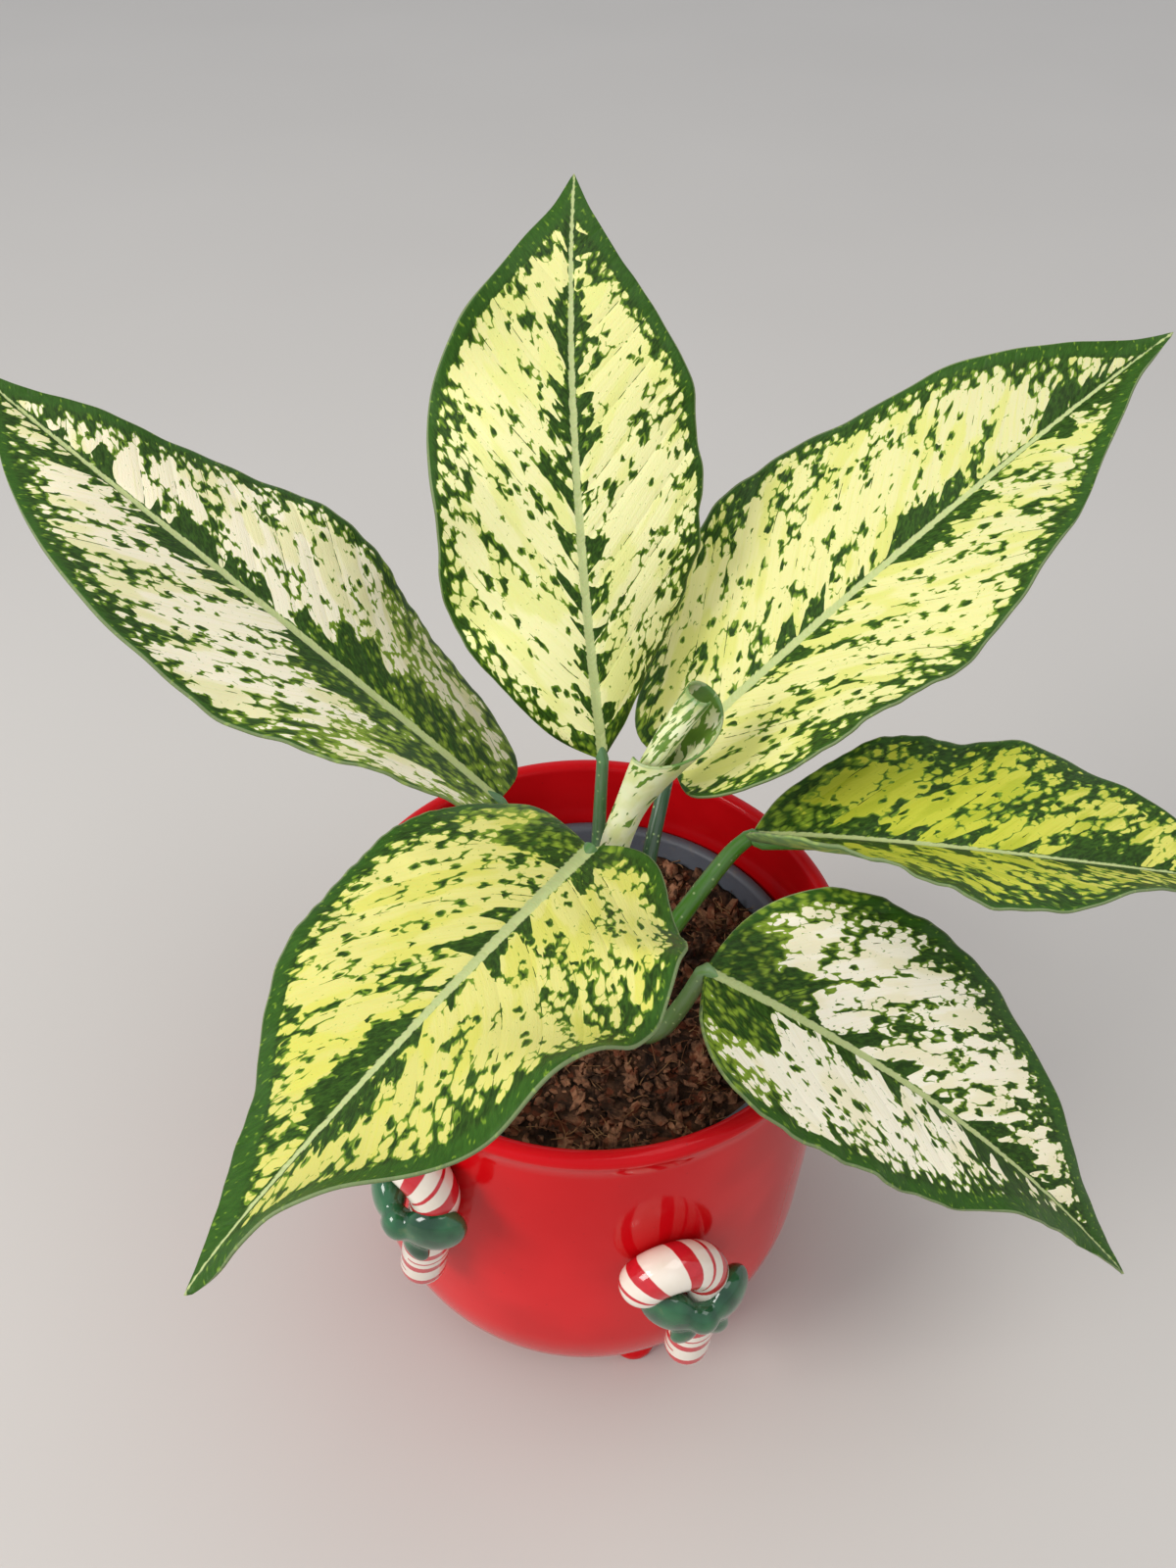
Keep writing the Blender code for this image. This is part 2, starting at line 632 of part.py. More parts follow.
def make_bow(index, azimuth, height, cane, parts, cutters, material):
    """A knot with two loops and two tails in front of a cane, hollowed where the cane passes."""
    radius = wall_radius(height) + GAP + 2 * CANE_RADIUS + KNOT_SIZE[1] / 2
    spot = polar(radius, azimuth + math.degrees(BOW_SIDEWAYS / radius), height)
    place = Matrix.Translation(spot) @ Matrix.Rotation(math.radians(azimuth), 4, "Z")
    bow = ellipsoid(f"bow_{index}", KNOT_SIZE, (0, 0, 0), None, place, parts, material)
    for side in (-1, 1):
        mirror = Vector((side, 1, 1))
        sweep = Matrix.Rotation(math.radians(side * LOOP_SWEEP), 3, "Z")
        lift = Matrix.Rotation(math.radians(-side * LOOP_LIFT), 3, "Y")
        loop = ellipsoid(f"bow {index} loop {side}", LOOP_SIZE, Vector(LOOP_PLACE) * mirror,
                         (sweep @ lift).to_quaternion(), place, cutters)
        turn = Matrix.Rotation(math.radians(-side * TAIL_TURN), 3, "Y")
        tail = ellipsoid(f"bow {index} tail {side}", TAIL_SIZE, Vector(TAIL_PLACE) * mirror,
                         turn.to_quaternion(), place, cutters)
        for piece in (loop, tail):
            combine(bow, as_cutter(piece), "UNION")
    combine(bow, cane, "DIFFERENCE")
    shade(bow)


def make_ornaments(parts, cutters, cane_material, bow_material):
    for index in range(2 * CANE_PAIRS):
        kind = (LOW_CANE, HIGH_CANE)[index % 2]
        azimuth = kind["azimuth"] + 360 * (index // 2) / CANE_PAIRS
        route = cane_route(azimuth, kind["top"], kind["lean"])
        cane = tube(f"cane_{index + 1}", route, cane_radii(), parts)
        cane.data.materials.append(cane_material)
        shade(cane)
        seat = as_cutter(tube(f"bow seat cutter {index + 1}", route, cane_radii(GAP), cutters))
        make_bow(index + 1, azimuth, kind["top"] - BOW_BELOW_TOP, seat, parts, cutters,
                 bow_material)


def main():
    clear_scene()
    parts = make_collection("potted_chinese_evergreen")
    cutters = make_collection("cutters")
    make_planter(parts, cutters, make_material("red glaze", "D8202A", 0.08, 1.0))
    make_nursery_pot(parts, cutters, make_material("grey plastic", "5A5E68", 0.45))
    make_soil(parts, cutters, make_material("coir soil", "3A241A", 0.95))
    make_stem(parts, cutters, make_material("leaf stalk", "4F7A3A", 0.45))
    make_new_leaf(parts, make_material("rolled leaf", "D9E2A8", 0.40))
    for leaf in LEAVES:
        make_blade(leaf, parts, make_material(leaf["name"], "6C9A48", 0.38))
    make_ornaments(parts, cutters, make_material("cane glaze", "F2E9DC", 0.10, 1.0),
                   make_material("bow glaze", "1F5A38", 0.12, 1.0))


main()
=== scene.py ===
"""Looks for the potted Chinese evergreen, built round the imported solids. Metres, +Z up.

The front is towards -Y. Azimuths of the ornaments are counted from the front, towards +X.
Most sizes repeat those of the part's solids, which this script can't read.
"""

import math
import random
from contextlib import contextmanager

import bmesh
import bpy
import numpy as np
from mathutils import Matrix, Vector


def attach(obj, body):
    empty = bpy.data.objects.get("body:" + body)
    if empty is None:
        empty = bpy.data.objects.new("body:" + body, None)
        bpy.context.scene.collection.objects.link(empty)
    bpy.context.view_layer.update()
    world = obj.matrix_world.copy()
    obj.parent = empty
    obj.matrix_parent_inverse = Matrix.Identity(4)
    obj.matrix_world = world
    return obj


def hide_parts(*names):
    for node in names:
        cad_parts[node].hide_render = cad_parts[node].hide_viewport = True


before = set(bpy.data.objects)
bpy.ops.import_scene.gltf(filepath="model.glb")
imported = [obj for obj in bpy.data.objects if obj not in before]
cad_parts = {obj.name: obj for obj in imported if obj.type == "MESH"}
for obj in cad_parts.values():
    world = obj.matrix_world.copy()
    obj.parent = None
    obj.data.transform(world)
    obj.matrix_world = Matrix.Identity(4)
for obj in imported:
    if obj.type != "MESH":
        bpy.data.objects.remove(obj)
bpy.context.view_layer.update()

# General
BODY = "root"
GAP = 0.0003
MM = 0.001

# Camera of the photograph
CAMERA_PLACE = (-0.0012, -0.1959, 0.3544)
CAMERA_PITCH = 43.5
CAMERA_ROLL = 1.0
CAMERA_LENS = 29.25

# Planter
PLANTER_RADIUS = 0.0615
LIP_RADIUS = 0.0021
LIP_HEIGHT = 0.1184
NECK_SHARE = 0.970
BELLY_SHARE = 0.015
BASE_SHARE = 0.72
CORNER_HEIGHT = 0.034
UNDERSIDE_HEIGHT = 0.002
WALL = 0.0034
FLOOR_THICKNESS = 0.005
FOOT_COUNT = 3
FOOT_AZIMUTH = 17.0
FOOT_CIRCLE = 0.0475
FOOT_RADIUS = 0.006
FOOT_TOP = 0.006
FOOT_EDGE = 0.0012
NECK_BELOW_LIP = 0.0026
INNER_LOWEST = 0.012
INNER_BELOW_LIP = 0.004
TURNED_SIDES = 160
TURNED_WELD = 0.000005

# Nursery pot and soil
NURSERY_OFFSET = (0.0015, 0.0025)
NURSERY_RIM_RADIUS = 0.053
NURSERY_TOP_RADIUS = 0.0512
NURSERY_BASE_RADIUS = 0.037
NURSERY_HEIGHT = 0.094
NURSERY_RIM_DEPTH = 0.006
NURSERY_WALL = 0.0012
SOIL_DEPTH_BELOW_RIM = 0.0055
SOIL_MOUND = 0.003
SOIL_EDGE = 0.0012
SOIL_SEED = 7
CRUMB_HEIGHT = 0.0005
CRUMB_DEPTH = 0.0006
CHIP_COUNT = 2200
CHIP_SIZE = 0.0005
CHIP_GROWTH = 0.0022
FIBRE_COUNT = 520
FIBRE_STEPS = 6
FIBRE_LENGTHS = (0.002, 0.007)
FIBRE_RADII = (0.00008, 0.00018)

# Stem, crown and leaf stalks
STEM_FOOT = (0.0056, -0.0049, 0.082)
STEM_RADIUS = 0.0072
ROLL_FOOT = (0.0036, 0.0021, 0.1148)
ROLL_TIP = (0.0226, 0.0091, 0.1848)
COLLAR_HEIGHT = 0.001
KNUCKLE_SHARE = 0.5
KNUCKLE_RADIUS = 0.0062
CROWN_RADIUS = 0.0046
STEM_TOP_RADIUS = 0.0036
STEM_TOP_LENGTH = 0.0025
STEM_STEPS = 8
STEM_SIDES = 32
STALK_TAPER = 1.5
STALK_STEPS = 14
STALK_SIDES = 16
RIB_STEPS = 40

# New leaf, still rolled
ROLL_BEND = (-0.0070, -0.0010, 0.0)
ROLL_ROWS = 90
ROLL_COLUMNS = 110
ROLL_CORE_RADIUS = 0.0016
ROLL_FOOT_RADIUS = 0.0032
ROLL_WIDENING = 0.0012
ROLL_THICKNESS = 0.0005
ROLL_EDGE_AZIMUTH = 200.0
ROLL_WRAP = 495.0
ROLL_SLANT = 0.22
ROLL_SLANT_SHARES = (0.45, 1.0)
ROLL_OPENS_AT = 0.55
ROLL_FLARE = 0.0045
ROLL_FLARE_SHARES = (0.25, 0.60)

# Leaf blades
BLADE_THICKNESS = 0.0006
BLADE_ROWS = 120
BLADE_COLUMNS = 48
BLADE_WELD = 0.000002
# The midribs run this share of their length, so that the fine blades stay in the solids' box
BLADE_SHARE = 0.999
LOBE_PLACE = 0.05
LOBE_BEND = 1.5
CURL_REACH = 0.25
CURL_BEND = 1.5
FOLD_EASE = 0.6
TIP_PLACE = 0.8
ARC_STEPS = 8
OUTLINE_PLACES = (0.0, 0.035, 0.09, 0.18, 0.30, 0.43, 0.56, 0.68, 0.78, 0.86, 0.93, 1.0)
OUTLINE_WIDTHS = (0.0, 0.36, 0.61, 0.86, 1.0, 1.03, 0.97, 0.79, 0.53, 0.32, 0.13, 0.0)

# Each leaf grows from its base along a heading. Angles are in degrees. A pair holds the right
# side and the left side, and a wave is its height, its count along the leaf and its phase.
LEAVES = (
    dict(name="leaf_back", base=(0.0020, 0.0154, 0.1615), heading=107, rise=61, droop=22,
         bend=1.32, tip_droop=3, sweep=-20, length=0.128, ratio=0.48, roll=-16, twist=2.5,
         fold=(0, 0), curl=(-52, -75), uneven=-0.04, lobe=0.0, fullness=(1.22, 1.16),
         waves=((0.0007, 3.1, 0.08), (0.0031, 3.1, -0.13))),
    dict(name="leaf_left", base=(-0.0219, 0.0147, 0.1485), heading=167, rise=43.5, droop=19,
         bend=0.98, tip_droop=-7, sweep=-17, length=0.1473, ratio=0.47, roll=-14.5, twist=20,
         fold=(9, 10), curl=(-8, 32), uneven=-0.04, lobe=0.05, fullness=(0.89, 1.06),
         waves=((0.0029, 2.28, 0.24), (-0.0025, 2.4, 0.26))),
    dict(name="leaf_right_back", base=(0.0180, 0.0239, 0.1544), heading=30, rise=34.6, droop=5.9,
         bend=1.2, tip_droop=2.3, sweep=-3.3, length=0.1483, ratio=0.49, roll=3, twist=-17,
         fold=(13, 21.4), curl=(23.5, -1.5), uneven=-0.03, lobe=0.05, fullness=(0.83, 1.05),
         waves=((-0.0027, 3.2, -0.09), (0.0047, 1.9, 0.64))),
    dict(name="leaf_front_left", base=(-0.0005, -0.0085, 0.1575), heading=248.4, rise=23.5,
         droop=41.4, bend=1.25, tip_droop=13.2, sweep=-17.3, length=0.123, ratio=0.56, roll=12.7,
         twist=-55.3, fold=(17, 3.2), curl=(-18, 17), uneven=-0.04, lobe=0.07,
         fullness=(0.91, 1.14), waves=((0.0011, 2.9, -0.35), (0.0043, 3.57, 0.19))),
    dict(name="leaf_front_right", base=(0.0242, -0.0266, 0.1399), heading=-14.3, rise=-22,
         droop=24.6, bend=1.24, tip_droop=-3, sweep=-8.1, length=0.126, ratio=0.51, roll=-17.4,
         twist=33.2, fold=(14, 21.5), curl=(42, 7.5), uneven=-0.08, lobe=0.0,
         fullness=(0.59, 0.9), waves=((0.0019, 2.7, 0.38), (0.0007, 2.95, 0.13))),
    dict(name="leaf_right", base=(0.0373, 0.0141, 0.1391), heading=-15.6, rise=21.7, droop=33.2,
         bend=0.52, tip_droop=-0.3, sweep=18.7, length=0.121, ratio=0.48, roll=3.3, twist=5.3,
         fold=(25.3, 26.6), curl=(71, 60), uneven=-0.04, lobe=0.0, fullness=(0.81, 1.21),
         waves=((0.0028, 2.22, 0.69), (0.0014, 3.45, 0.41))),
)

# How each leaf is blotched: how far its pale spots spread, its dark margin in millimetres and
# how much wider that is at the tip, how far up its foot is dark, its midrib's half width, and
# the colours of its pale areas, of the patches in them and towards its tip. The seed moves
# the leaf to its own part of the noise.
BLOTCHES = {
    "leaf_back": dict(
        cover=0.77, margin=0.2, tip_margin=4.2, foot=0.05, midrib=1.15,
        pale="F4F0B2", patch="E4E686", tip="EAE69A", seed=1.0),
    "leaf_left": dict(
        cover=0.63, margin=0.4, tip_margin=1.8, foot=0.50, midrib=1.4,
        pale="F7EED2", patch="E0DC96", tip="F0E6C6", seed=2.0),
    "leaf_right_back": dict(
        cover=0.69, margin=0.3, tip_margin=3.0, foot=0.06, midrib=1.25,
        pale="E2DE98", patch="D2D466", tip="D8D4A0", seed=3.0),
    "leaf_front_left": dict(
        cover=0.71, margin=1.6, tip_margin=4.0, foot=0.10, midrib=1.3,
        pale="DFD982", patch="D2D052", tip="D2CC6E", seed=4.0),
    "leaf_front_right": dict(
        cover=0.62, margin=2.6, tip_margin=3.4, foot=0.26, midrib=1.0,
        pale="FFF6DE", patch="F2E8BC", tip="FBF0CE", seed=5.0),
    "leaf_right": dict(
        cover=0.58, margin=0.9, tip_margin=-0.9, foot=0.30, midrib=0.9,
        pale="C6C840", patch="A8B22A", tip="D8D468", seed=6.0),
}
VEIN_SPACING = 10.5
RUFFLES = (17, 21)
RUFFLE_HEIGHT = 0.0005
RUFFLE_DEPTH = 0.0003

# Each stalk's route ends at its leaf's base. The radii are at the crown and at the leaf.
STALKS = {
    "leaf_back": dict(radii=(0.0026, 0.0014), colour="4F7A4A", route=(
        (0.0046, 0.0001, 0.1068), (0.0018, 0.0076, 0.1158), (0.0014, 0.0106, 0.1298),
        (0.0016, 0.0131, 0.1458))),
    "leaf_left": dict(radii=(0.0028, 0.0017), colour="4A7A40", route=(
        (0.0036, -0.0039, 0.1068), (-0.0024, 0.0001, 0.1168), (-0.0094, 0.0051, 0.1308),
        (-0.0179, 0.0113, 0.1433))),
    "leaf_right_back": dict(radii=(0.0028, 0.0017), colour="2C5530", route=(
        (0.0076, -0.0039, 0.1068), (0.0114, 0.0016, 0.1198), (0.0131, 0.0081, 0.1348))),
    "leaf_front_left": dict(radii=(0.0028, 0.0018), colour="5A8A48", route=(
        (0.0046, -0.0069, 0.1068), (0.0031, -0.0094, 0.1188), (0.0016, -0.0099, 0.1348),
        (0.0001, -0.0094, 0.1488))),
    "leaf_front_right": dict(radii=(0.0030, 0.0018), colour="6E9450", route=(
        (0.0066, -0.0079, 0.1058), (0.0111, -0.0199, 0.1088), (0.0156, -0.0264, 0.1178),
        (0.0201, -0.0279, 0.1293))),
    "leaf_right": dict(radii=(0.0030, 0.0019), colour="4E8A1E", route=(
        (0.0071, -0.0063, 0.1049), (0.0121, -0.0064, 0.1118), (0.0196, -0.0009, 0.1238),
        (0.0316, 0.0106, 0.1348))),
}

# Candy canes and bows on the wall, three low ones and three high ones in turn
CANE_PAIRS = 3
LOW_CANE = dict(azimuth=16.8, top=0.085, lean=3.4)
HIGH_CANE = dict(azimuth=80.8, top=0.1125, lean=10.0)
CANE_RADIUS = 0.0055
CANE_BEND_RADIUS = 0.0083
CANE_LENGTH = 0.055
CANE_STEPS = 96
CANE_END_STEPS = 6
STRIPE_PITCH = 7.4
STRIPE_START = 0.12
CANE_SIDES = 32
BOW_BELOW_TOP = 0.0195
BOW_SIDEWAYS = 0.0065
KNOT_SIZE = (0.0036, 0.0032, 0.0042)
LOOP_SIZE = (0.0066, 0.0036, 0.0062)
LOOP_PLACE = (0.0072, 0.0042, 0.0004)
LOOP_SWEEP = 38.0
LOOP_LIFT = 6.0
TAIL_SIZE = (0.0030, 0.0022, 0.0046)
TAIL_PLACE = (0.0036, 0.0012, -0.0066)
TAIL_TURN = 28.0
BOW_SWELL = 1.1
BOW_VOXEL = 0.00042
BOW_SOFTENING = 0.8
BOW_SOFT_ROUNDS = 20

# Studio
FLOOR_HALF = 3.0
SKY_COLOUR = (0.93, 0.95, 1.0, 1.0)
SKY_STRENGTH = 0.72
LIGHT_TARGET = (0.0, 0.0, 0.12)
LIGHTS = (
    dict(name="window", place=(-1.0, -0.55, 0.9), size=0.55, energy=11.0, colour=(1.0, 0.98, 0.95)),
    dict(name="top", place=(0.25, -0.15, 1.3), size=0.8, energy=4.0, colour=(1.0, 0.99, 0.97)),
)


def linear(code):
    """Linear colour of a six-digit sRGB code."""
    values = []
    for place in (0, 2, 4):
        share = int(code[place:place + 2], 16) / 255
        values.append(share / 12.92 if share <= 0.04045 else ((share + 0.055) / 1.055) ** 2.4)
    return (*values, 1.0)


class Value:
    """A number worked out by nodes, which takes plain arithmetic."""

    def __init__(self, graph, socket):
        self.graph = graph
        self.socket = socket

    def __add__(self, other):
        return self.graph.math("ADD", self, other)

    def __sub__(self, other):
        return self.graph.math("SUBTRACT", self, other)

    def __rsub__(self, other):
        return self.graph.math("SUBTRACT", other, self)

    def __mul__(self, other):
        return self.graph.math("MULTIPLY", self, other)

    def __truediv__(self, other):
        return self.graph.math("DIVIDE", self, other)

    def __pow__(self, other):
        return self.graph.math("POWER", self, other)

    def __abs__(self):
        return self.graph.math("ABSOLUTE", self)


class Graph:
    """A short way to write a material's nodes."""

    def __init__(self, name):
        self.material = bpy.data.materials.new(name)
        self.material.use_nodes = True
        self.tree = self.material.node_tree
        self.shader = self.tree.nodes["Principled BSDF"]

    def node(self, kind, inputs, **settings):
        """A node with its settings, and with its inputs fed by name or number."""
        made = self.tree.nodes.new("ShaderNode" + kind)
        for key, value in settings.items():
            setattr(made, key, value)
        for key, value in inputs.items():
            self.feed(made.inputs[key], value)
        return made

    def feed(self, socket, value):
        """Link a value worked out by nodes, or set a number, a vector or a colour code."""
        if isinstance(value, Value):
            value = value.socket
        if isinstance(value, str):
            value = linear(value)
        if isinstance(value, bpy.types.NodeSocket):
            self.tree.links.new(value, socket)
        else:
            socket.default_value = value

    def math(self, operation, first, second=0.0):
        made = self.node("Math", {0: first, 1: second}, operation=operation)
        return Value(self, made.outputs[0])

    def smooth(self, value, low, high):
        """0 below low, 1 above high and a soft step between."""
        inputs = {"Value": value, "From Min": low, "From Max": high}
        made = self.node("MapRange", inputs, interpolation_type="SMOOTHSTEP")
        return Value(self, made.outputs[0])

    def mix(self, share, first, second):
        inputs = {0: share, 6: first, 7: second}
        return self.node("Mix", inputs, data_type="RGBA").outputs[2]

    def vector(self, x, y, z=0.0):
        return self.node("CombineXYZ", {0: x, 1: y, 2: z}).outputs[0]

    def parts(self, vector):
        made = self.node("SeparateXYZ", {0: vector})
        return [Value(self, output) for output in made.outputs]

    def attribute(self, name):
        return self.node("Attribute", {}, attribute_name=name).outputs["Vector"]

    def place(self):
        return self.node("TexCoord", {}).outputs["Object"]

    def noise(self, vector, scale, detail=2.0, roughness=0.5, output="Fac"):
        inputs = {"Vector": vector, "Scale": scale, "Detail": detail, "Roughness": roughness}
        return Value(self, self.node("TexNoise", inputs).outputs[output])

    def shift(self, vector, scale, offset=(0.0, 0.0, 0.0)):
        inputs = {0: vector, 1: scale, 2: offset}
        return self.node("VectorMath", inputs, operation="MULTIPLY_ADD").outputs[0]

    def cells(self, vector, scale, flat=False):
        """Distance to the nearest cell centre, and that cell's own random value."""
        made = self.node("TexVoronoi", {"Vector": vector, "Scale": scale},
                         voronoi_dimensions="2D" if flat else "3D")
        return Value(self, made.outputs["Distance"]), self.parts(made.outputs["Color"])[0]

    def bump(self, height, strength, distance):
        inputs = {"Height": height, "Strength": strength, "Distance": distance}
        return self.node("Bump", inputs).outputs[0]

    def finish(self, colour, roughness, normal=None, **values):
        self.feed(self.shader.inputs["Base Color"], colour)
        self.feed(self.shader.inputs["Roughness"], roughness)
        if normal:
            self.feed(self.shader.inputs["Normal"], normal)
        for name, value in values.items():
            self.shader.inputs[name.replace("_", " ")].default_value = value
        return self.material


def add_object(name, data):
    made = bpy.data.objects.new(name, data)
    bpy.context.scene.collection.objects.link(made)
    return made


def add_piece(name, mesh, material, slot, *nodes):
    """A piece of the object that stands for the named solids."""
    piece = add_object(name, mesh)
    mesh.materials.append(material)
    mesh.shade_smooth()
    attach(piece, BODY)
    if nodes:
        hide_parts(*nodes)
    return piece


def grid_mesh(name, points, ring=False):
    """Mesh of quads over a 2D array of points, closed across when ring is set."""
    rows, columns = points.shape[:2]
    faces = []
    last = columns if ring else columns - 1
    for row in range(rows - 1):
        for column in range(last):
            following = (column + 1) % columns
            faces.append((row * columns + column, row * columns + following,
                          (row + 1) * columns + following, (row + 1) * columns + column))
    mesh = bpy.data.meshes.new(name)
    mesh.from_pydata(points.reshape(-1, 3).tolist(), [], faces)
    return mesh


@contextmanager
def editing(mesh):
    """Open a mesh for editing, and write it back at the end of the block."""
    work = bmesh.new()
    work.from_mesh(mesh)
    yield work
    work.to_mesh(mesh)
    work.free()


def add_places(mesh, name, values):
    """Store a vector for each vertex, for the material to read."""
    layer = mesh.attributes.new(name, "FLOAT_VECTOR", "POINT")
    layer.data.foreach_set("vector", np.asarray(values, np.float32).ravel())


def apply_modifiers(piece):
    view = bpy.context.evaluated_depsgraph_get()
    mesh = bpy.data.meshes.new_from_object(piece.evaluated_get(view))
    piece.modifiers.clear()
    piece.data = mesh


def polar(radius, azimuth, height):
    """A point at an azimuth in degrees, counted from the front towards +X."""
    angle = math.radians(azimuth)
    return Vector((radius * math.sin(angle), -radius * math.cos(angle), height))


def wall_radius(height):
    """Outer radius of the planter's wall: a slight belly over a large rounded corner."""
    side = PLANTER_RADIUS * (NECK_SHARE + BELLY_SHARE * math.sin(math.pi * height / LIP_HEIGHT))
    if height >= CORNER_HEIGHT:
        return side
    share = (CORNER_HEIGHT - height) / (CORNER_HEIGHT - UNDERSIDE_HEIGHT)
    foot = PLANTER_RADIUS * BASE_SHARE
    return foot + (side - foot) * math.sqrt(max(0.0, 1 - share ** 2))


def arc(centre, radius, start, end, steps):
    """Points on a round stretch of a profile, angles in degrees from +X."""
    points = []
    for step in range(steps + 1):
        angle = math.radians(start + (end - start) * step / steps)
        points.append((centre[0] + radius * math.cos(angle), centre[1] + radius * math.sin(angle)))
    return points


def turned(name, profile, offset=(0.0, 0.0)):
    """Turn a closed outline of (radius, height) points about Z."""
    turns = [math.tau * side / TURNED_SIDES for side in range(TURNED_SIDES)]
    points = np.array([[(offset[0] + radius * math.cos(turn), offset[1] + radius * math.sin(turn),
                         height) for turn in turns] for radius, height in profile])
    mesh = grid_mesh(name, points, ring=True)
    with editing(mesh) as work:
        bmesh.ops.remove_doubles(work, verts=work.verts, dist=TURNED_WELD)
        bmesh.ops.recalc_face_normals(work, faces=work.faces)
    return mesh


def glaze_material():
    g = Graph("red glaze")
    place = g.place()
    height = g.parts(place)[2]
    cloud = g.noise(place, 28.0, 2.0)
    colour = g.mix(g.smooth(cloud, 0.35, 0.7), "CC0A12", "DE121A")
    # Painted light: the top of the rolled lip is painted a paler red, where the light falls on it
    lip = g.smooth(height, LIP_HEIGHT - 0.0005, LIP_HEIGHT + LIP_RADIUS)
    colour = g.mix(lip * 0.35, colour, "D8202A")
    speck, _ = g.cells(place, 260.0)
    colour = g.mix(g.smooth(speck, 0.10, 0.02) * 0.35, colour, "8E0A12")
    ripple = g.noise(place, 55.0, 2.0)
    normal = g.bump(ripple, 0.06, 0.001)
    return g.finish(colour, 0.10, normal, Coat_Weight=0.04, Coat_Roughness=0.03, Specular_IOR_Level=0.1)


def make_planter():
    lip = (PLANTER_RADIUS - LIP_RADIUS, LIP_HEIGHT)
    floor = UNDERSIDE_HEIGHT + FLOOR_THICKNESS
    profile = arc(lip, LIP_RADIUS, 90, -62, 16)
    heights = np.concatenate([np.linspace(LIP_HEIGHT - NECK_BELOW_LIP, CORNER_HEIGHT, 18),
                              CORNER_HEIGHT - (CORNER_HEIGHT - UNDERSIDE_HEIGHT)
                              * np.sin(np.linspace(0, math.pi / 2, 20)[1:])])
    profile += [(wall_radius(height), height) for height in heights]
    profile += [(0.0, UNDERSIDE_HEIGHT), (0.0, floor), (PLANTER_RADIUS * BASE_SHARE - WALL, floor)]
    for height in np.linspace(INNER_LOWEST, LIP_HEIGHT - INNER_BELOW_LIP, 16):
        profile.append((wall_radius(height) - WALL, height))
    profile += arc(lip, LIP_RADIUS, 180, 90, 8)
    mesh = turned("planter_shell", profile)
    with editing(mesh) as work:
        for index in range(FOOT_COUNT):
            spot = polar(FOOT_CIRCLE, FOOT_AZIMUTH + 360 * index / FOOT_COUNT, FOOT_TOP / 2)
            bmesh.ops.create_cone(work, cap_ends=True, segments=40, radius1=FOOT_RADIUS,
                                  radius2=FOOT_RADIUS, depth=FOOT_TOP,
                                  matrix=Matrix.Translation(spot))
        # Only the rims under the feet lie on the ground
        rims = [edge for edge in work.edges
                if all(abs(end.co.z) < TURNED_WELD for end in edge.verts)]
        bmesh.ops.bevel(work, geom=rims, offset=FOOT_EDGE, segments=4, affect="EDGES", profile=0.6)
    add_piece("planter_shell", mesh, glaze_material(), "red_glaze", "planter")


def nursery_floor():
    return UNDERSIDE_HEIGHT + FLOOR_THICKNESS + GAP


def nursery_wall_radius(height):
    share = (height - nursery_floor()) / NURSERY_HEIGHT
    return NURSERY_BASE_RADIUS + (NURSERY_TOP_RADIUS - NURSERY_BASE_RADIUS) * share


def plastic_material():
    g = Graph("grey plastic")
    place = g.place()
    cloud = g.noise(place, 60.0, 4.0)
    colour = g.mix(cloud, "474C57", "626670")
    dust = g.noise(place, 300.0, 3.0)
    colour = g.mix(g.smooth(dust, 0.58, 0.75) * 0.4, colour, "7B6A5C")
    grain = g.noise(place, 900.0, 2.0)
    normal = g.bump(grain, 0.25, 0.0003)
    return g.finish(colour, cloud * 0.25 + 0.36, normal)


def make_nursery_pot():
    low = nursery_floor()
    top = low + NURSERY_HEIGHT
    skirt = top - NURSERY_RIM_DEPTH
    wall = NURSERY_WALL
    rim = NURSERY_RIM_RADIUS
    base = NURSERY_BASE_RADIUS
    inner_floor = low + wall
    inner_top = NURSERY_TOP_RADIUS - wall
    edge = wall / 3
    profile = [
        (inner_top + wall / 2, top),
        (rim - edge, top),
        (rim - edge / 4, top - edge / 3),
        (rim, top - edge),
        (rim, skirt + edge),
        (rim - edge, skirt),
        (nursery_wall_radius(skirt), skirt),
        (base + wall, inner_floor),
        (base, low),
        (0.0, low),
        (0.0, inner_floor),
        (base - wall, inner_floor),
        (inner_top, top - wall),
        (inner_top + wall / 2, top),
    ]
    mesh = turned("nursery_pot_shell", profile, NURSERY_OFFSET)
    add_piece("nursery_pot_shell", mesh, plastic_material(), "grey_plastic", "nursery_pot")


def soil_height(share):
    """Height of the mounded soil surface, share 0 at the middle and 1 at the wall."""
    top = nursery_floor() + NURSERY_HEIGHT - SOIL_DEPTH_BELOW_RIM
    return top + SOIL_MOUND * (0.5 + 0.5 * math.cos(math.pi * share))


def soil_material(name, dark, light):
    """Dark and light lumps with pale grains, and reddish and near-black clumps."""
    g = Graph(name)
    place = g.place()
    lump = g.noise(place, 180.0, 6.0, 0.65)
    colour = g.mix(g.smooth(lump, 0.35, 0.68), dark, light)
    grain = g.noise(place, 900.0, 4.0, 0.7)
    colour = g.mix(g.smooth(grain, 0.62, 0.80), colour, "7A5238")
    clump = g.noise(place, 330.0, 1.0)
    colour = g.mix(g.smooth(clump, 0.58, 0.66) * 0.6, colour, "7C3E26")
    colour = g.mix(g.smooth(clump, 0.44, 0.36) * 0.7, colour, "1A100B")
    return g.finish(colour, 0.92, g.bump(lump + grain * 0.4, 1.0, 0.0012), Specular_IOR_Level=0.25)


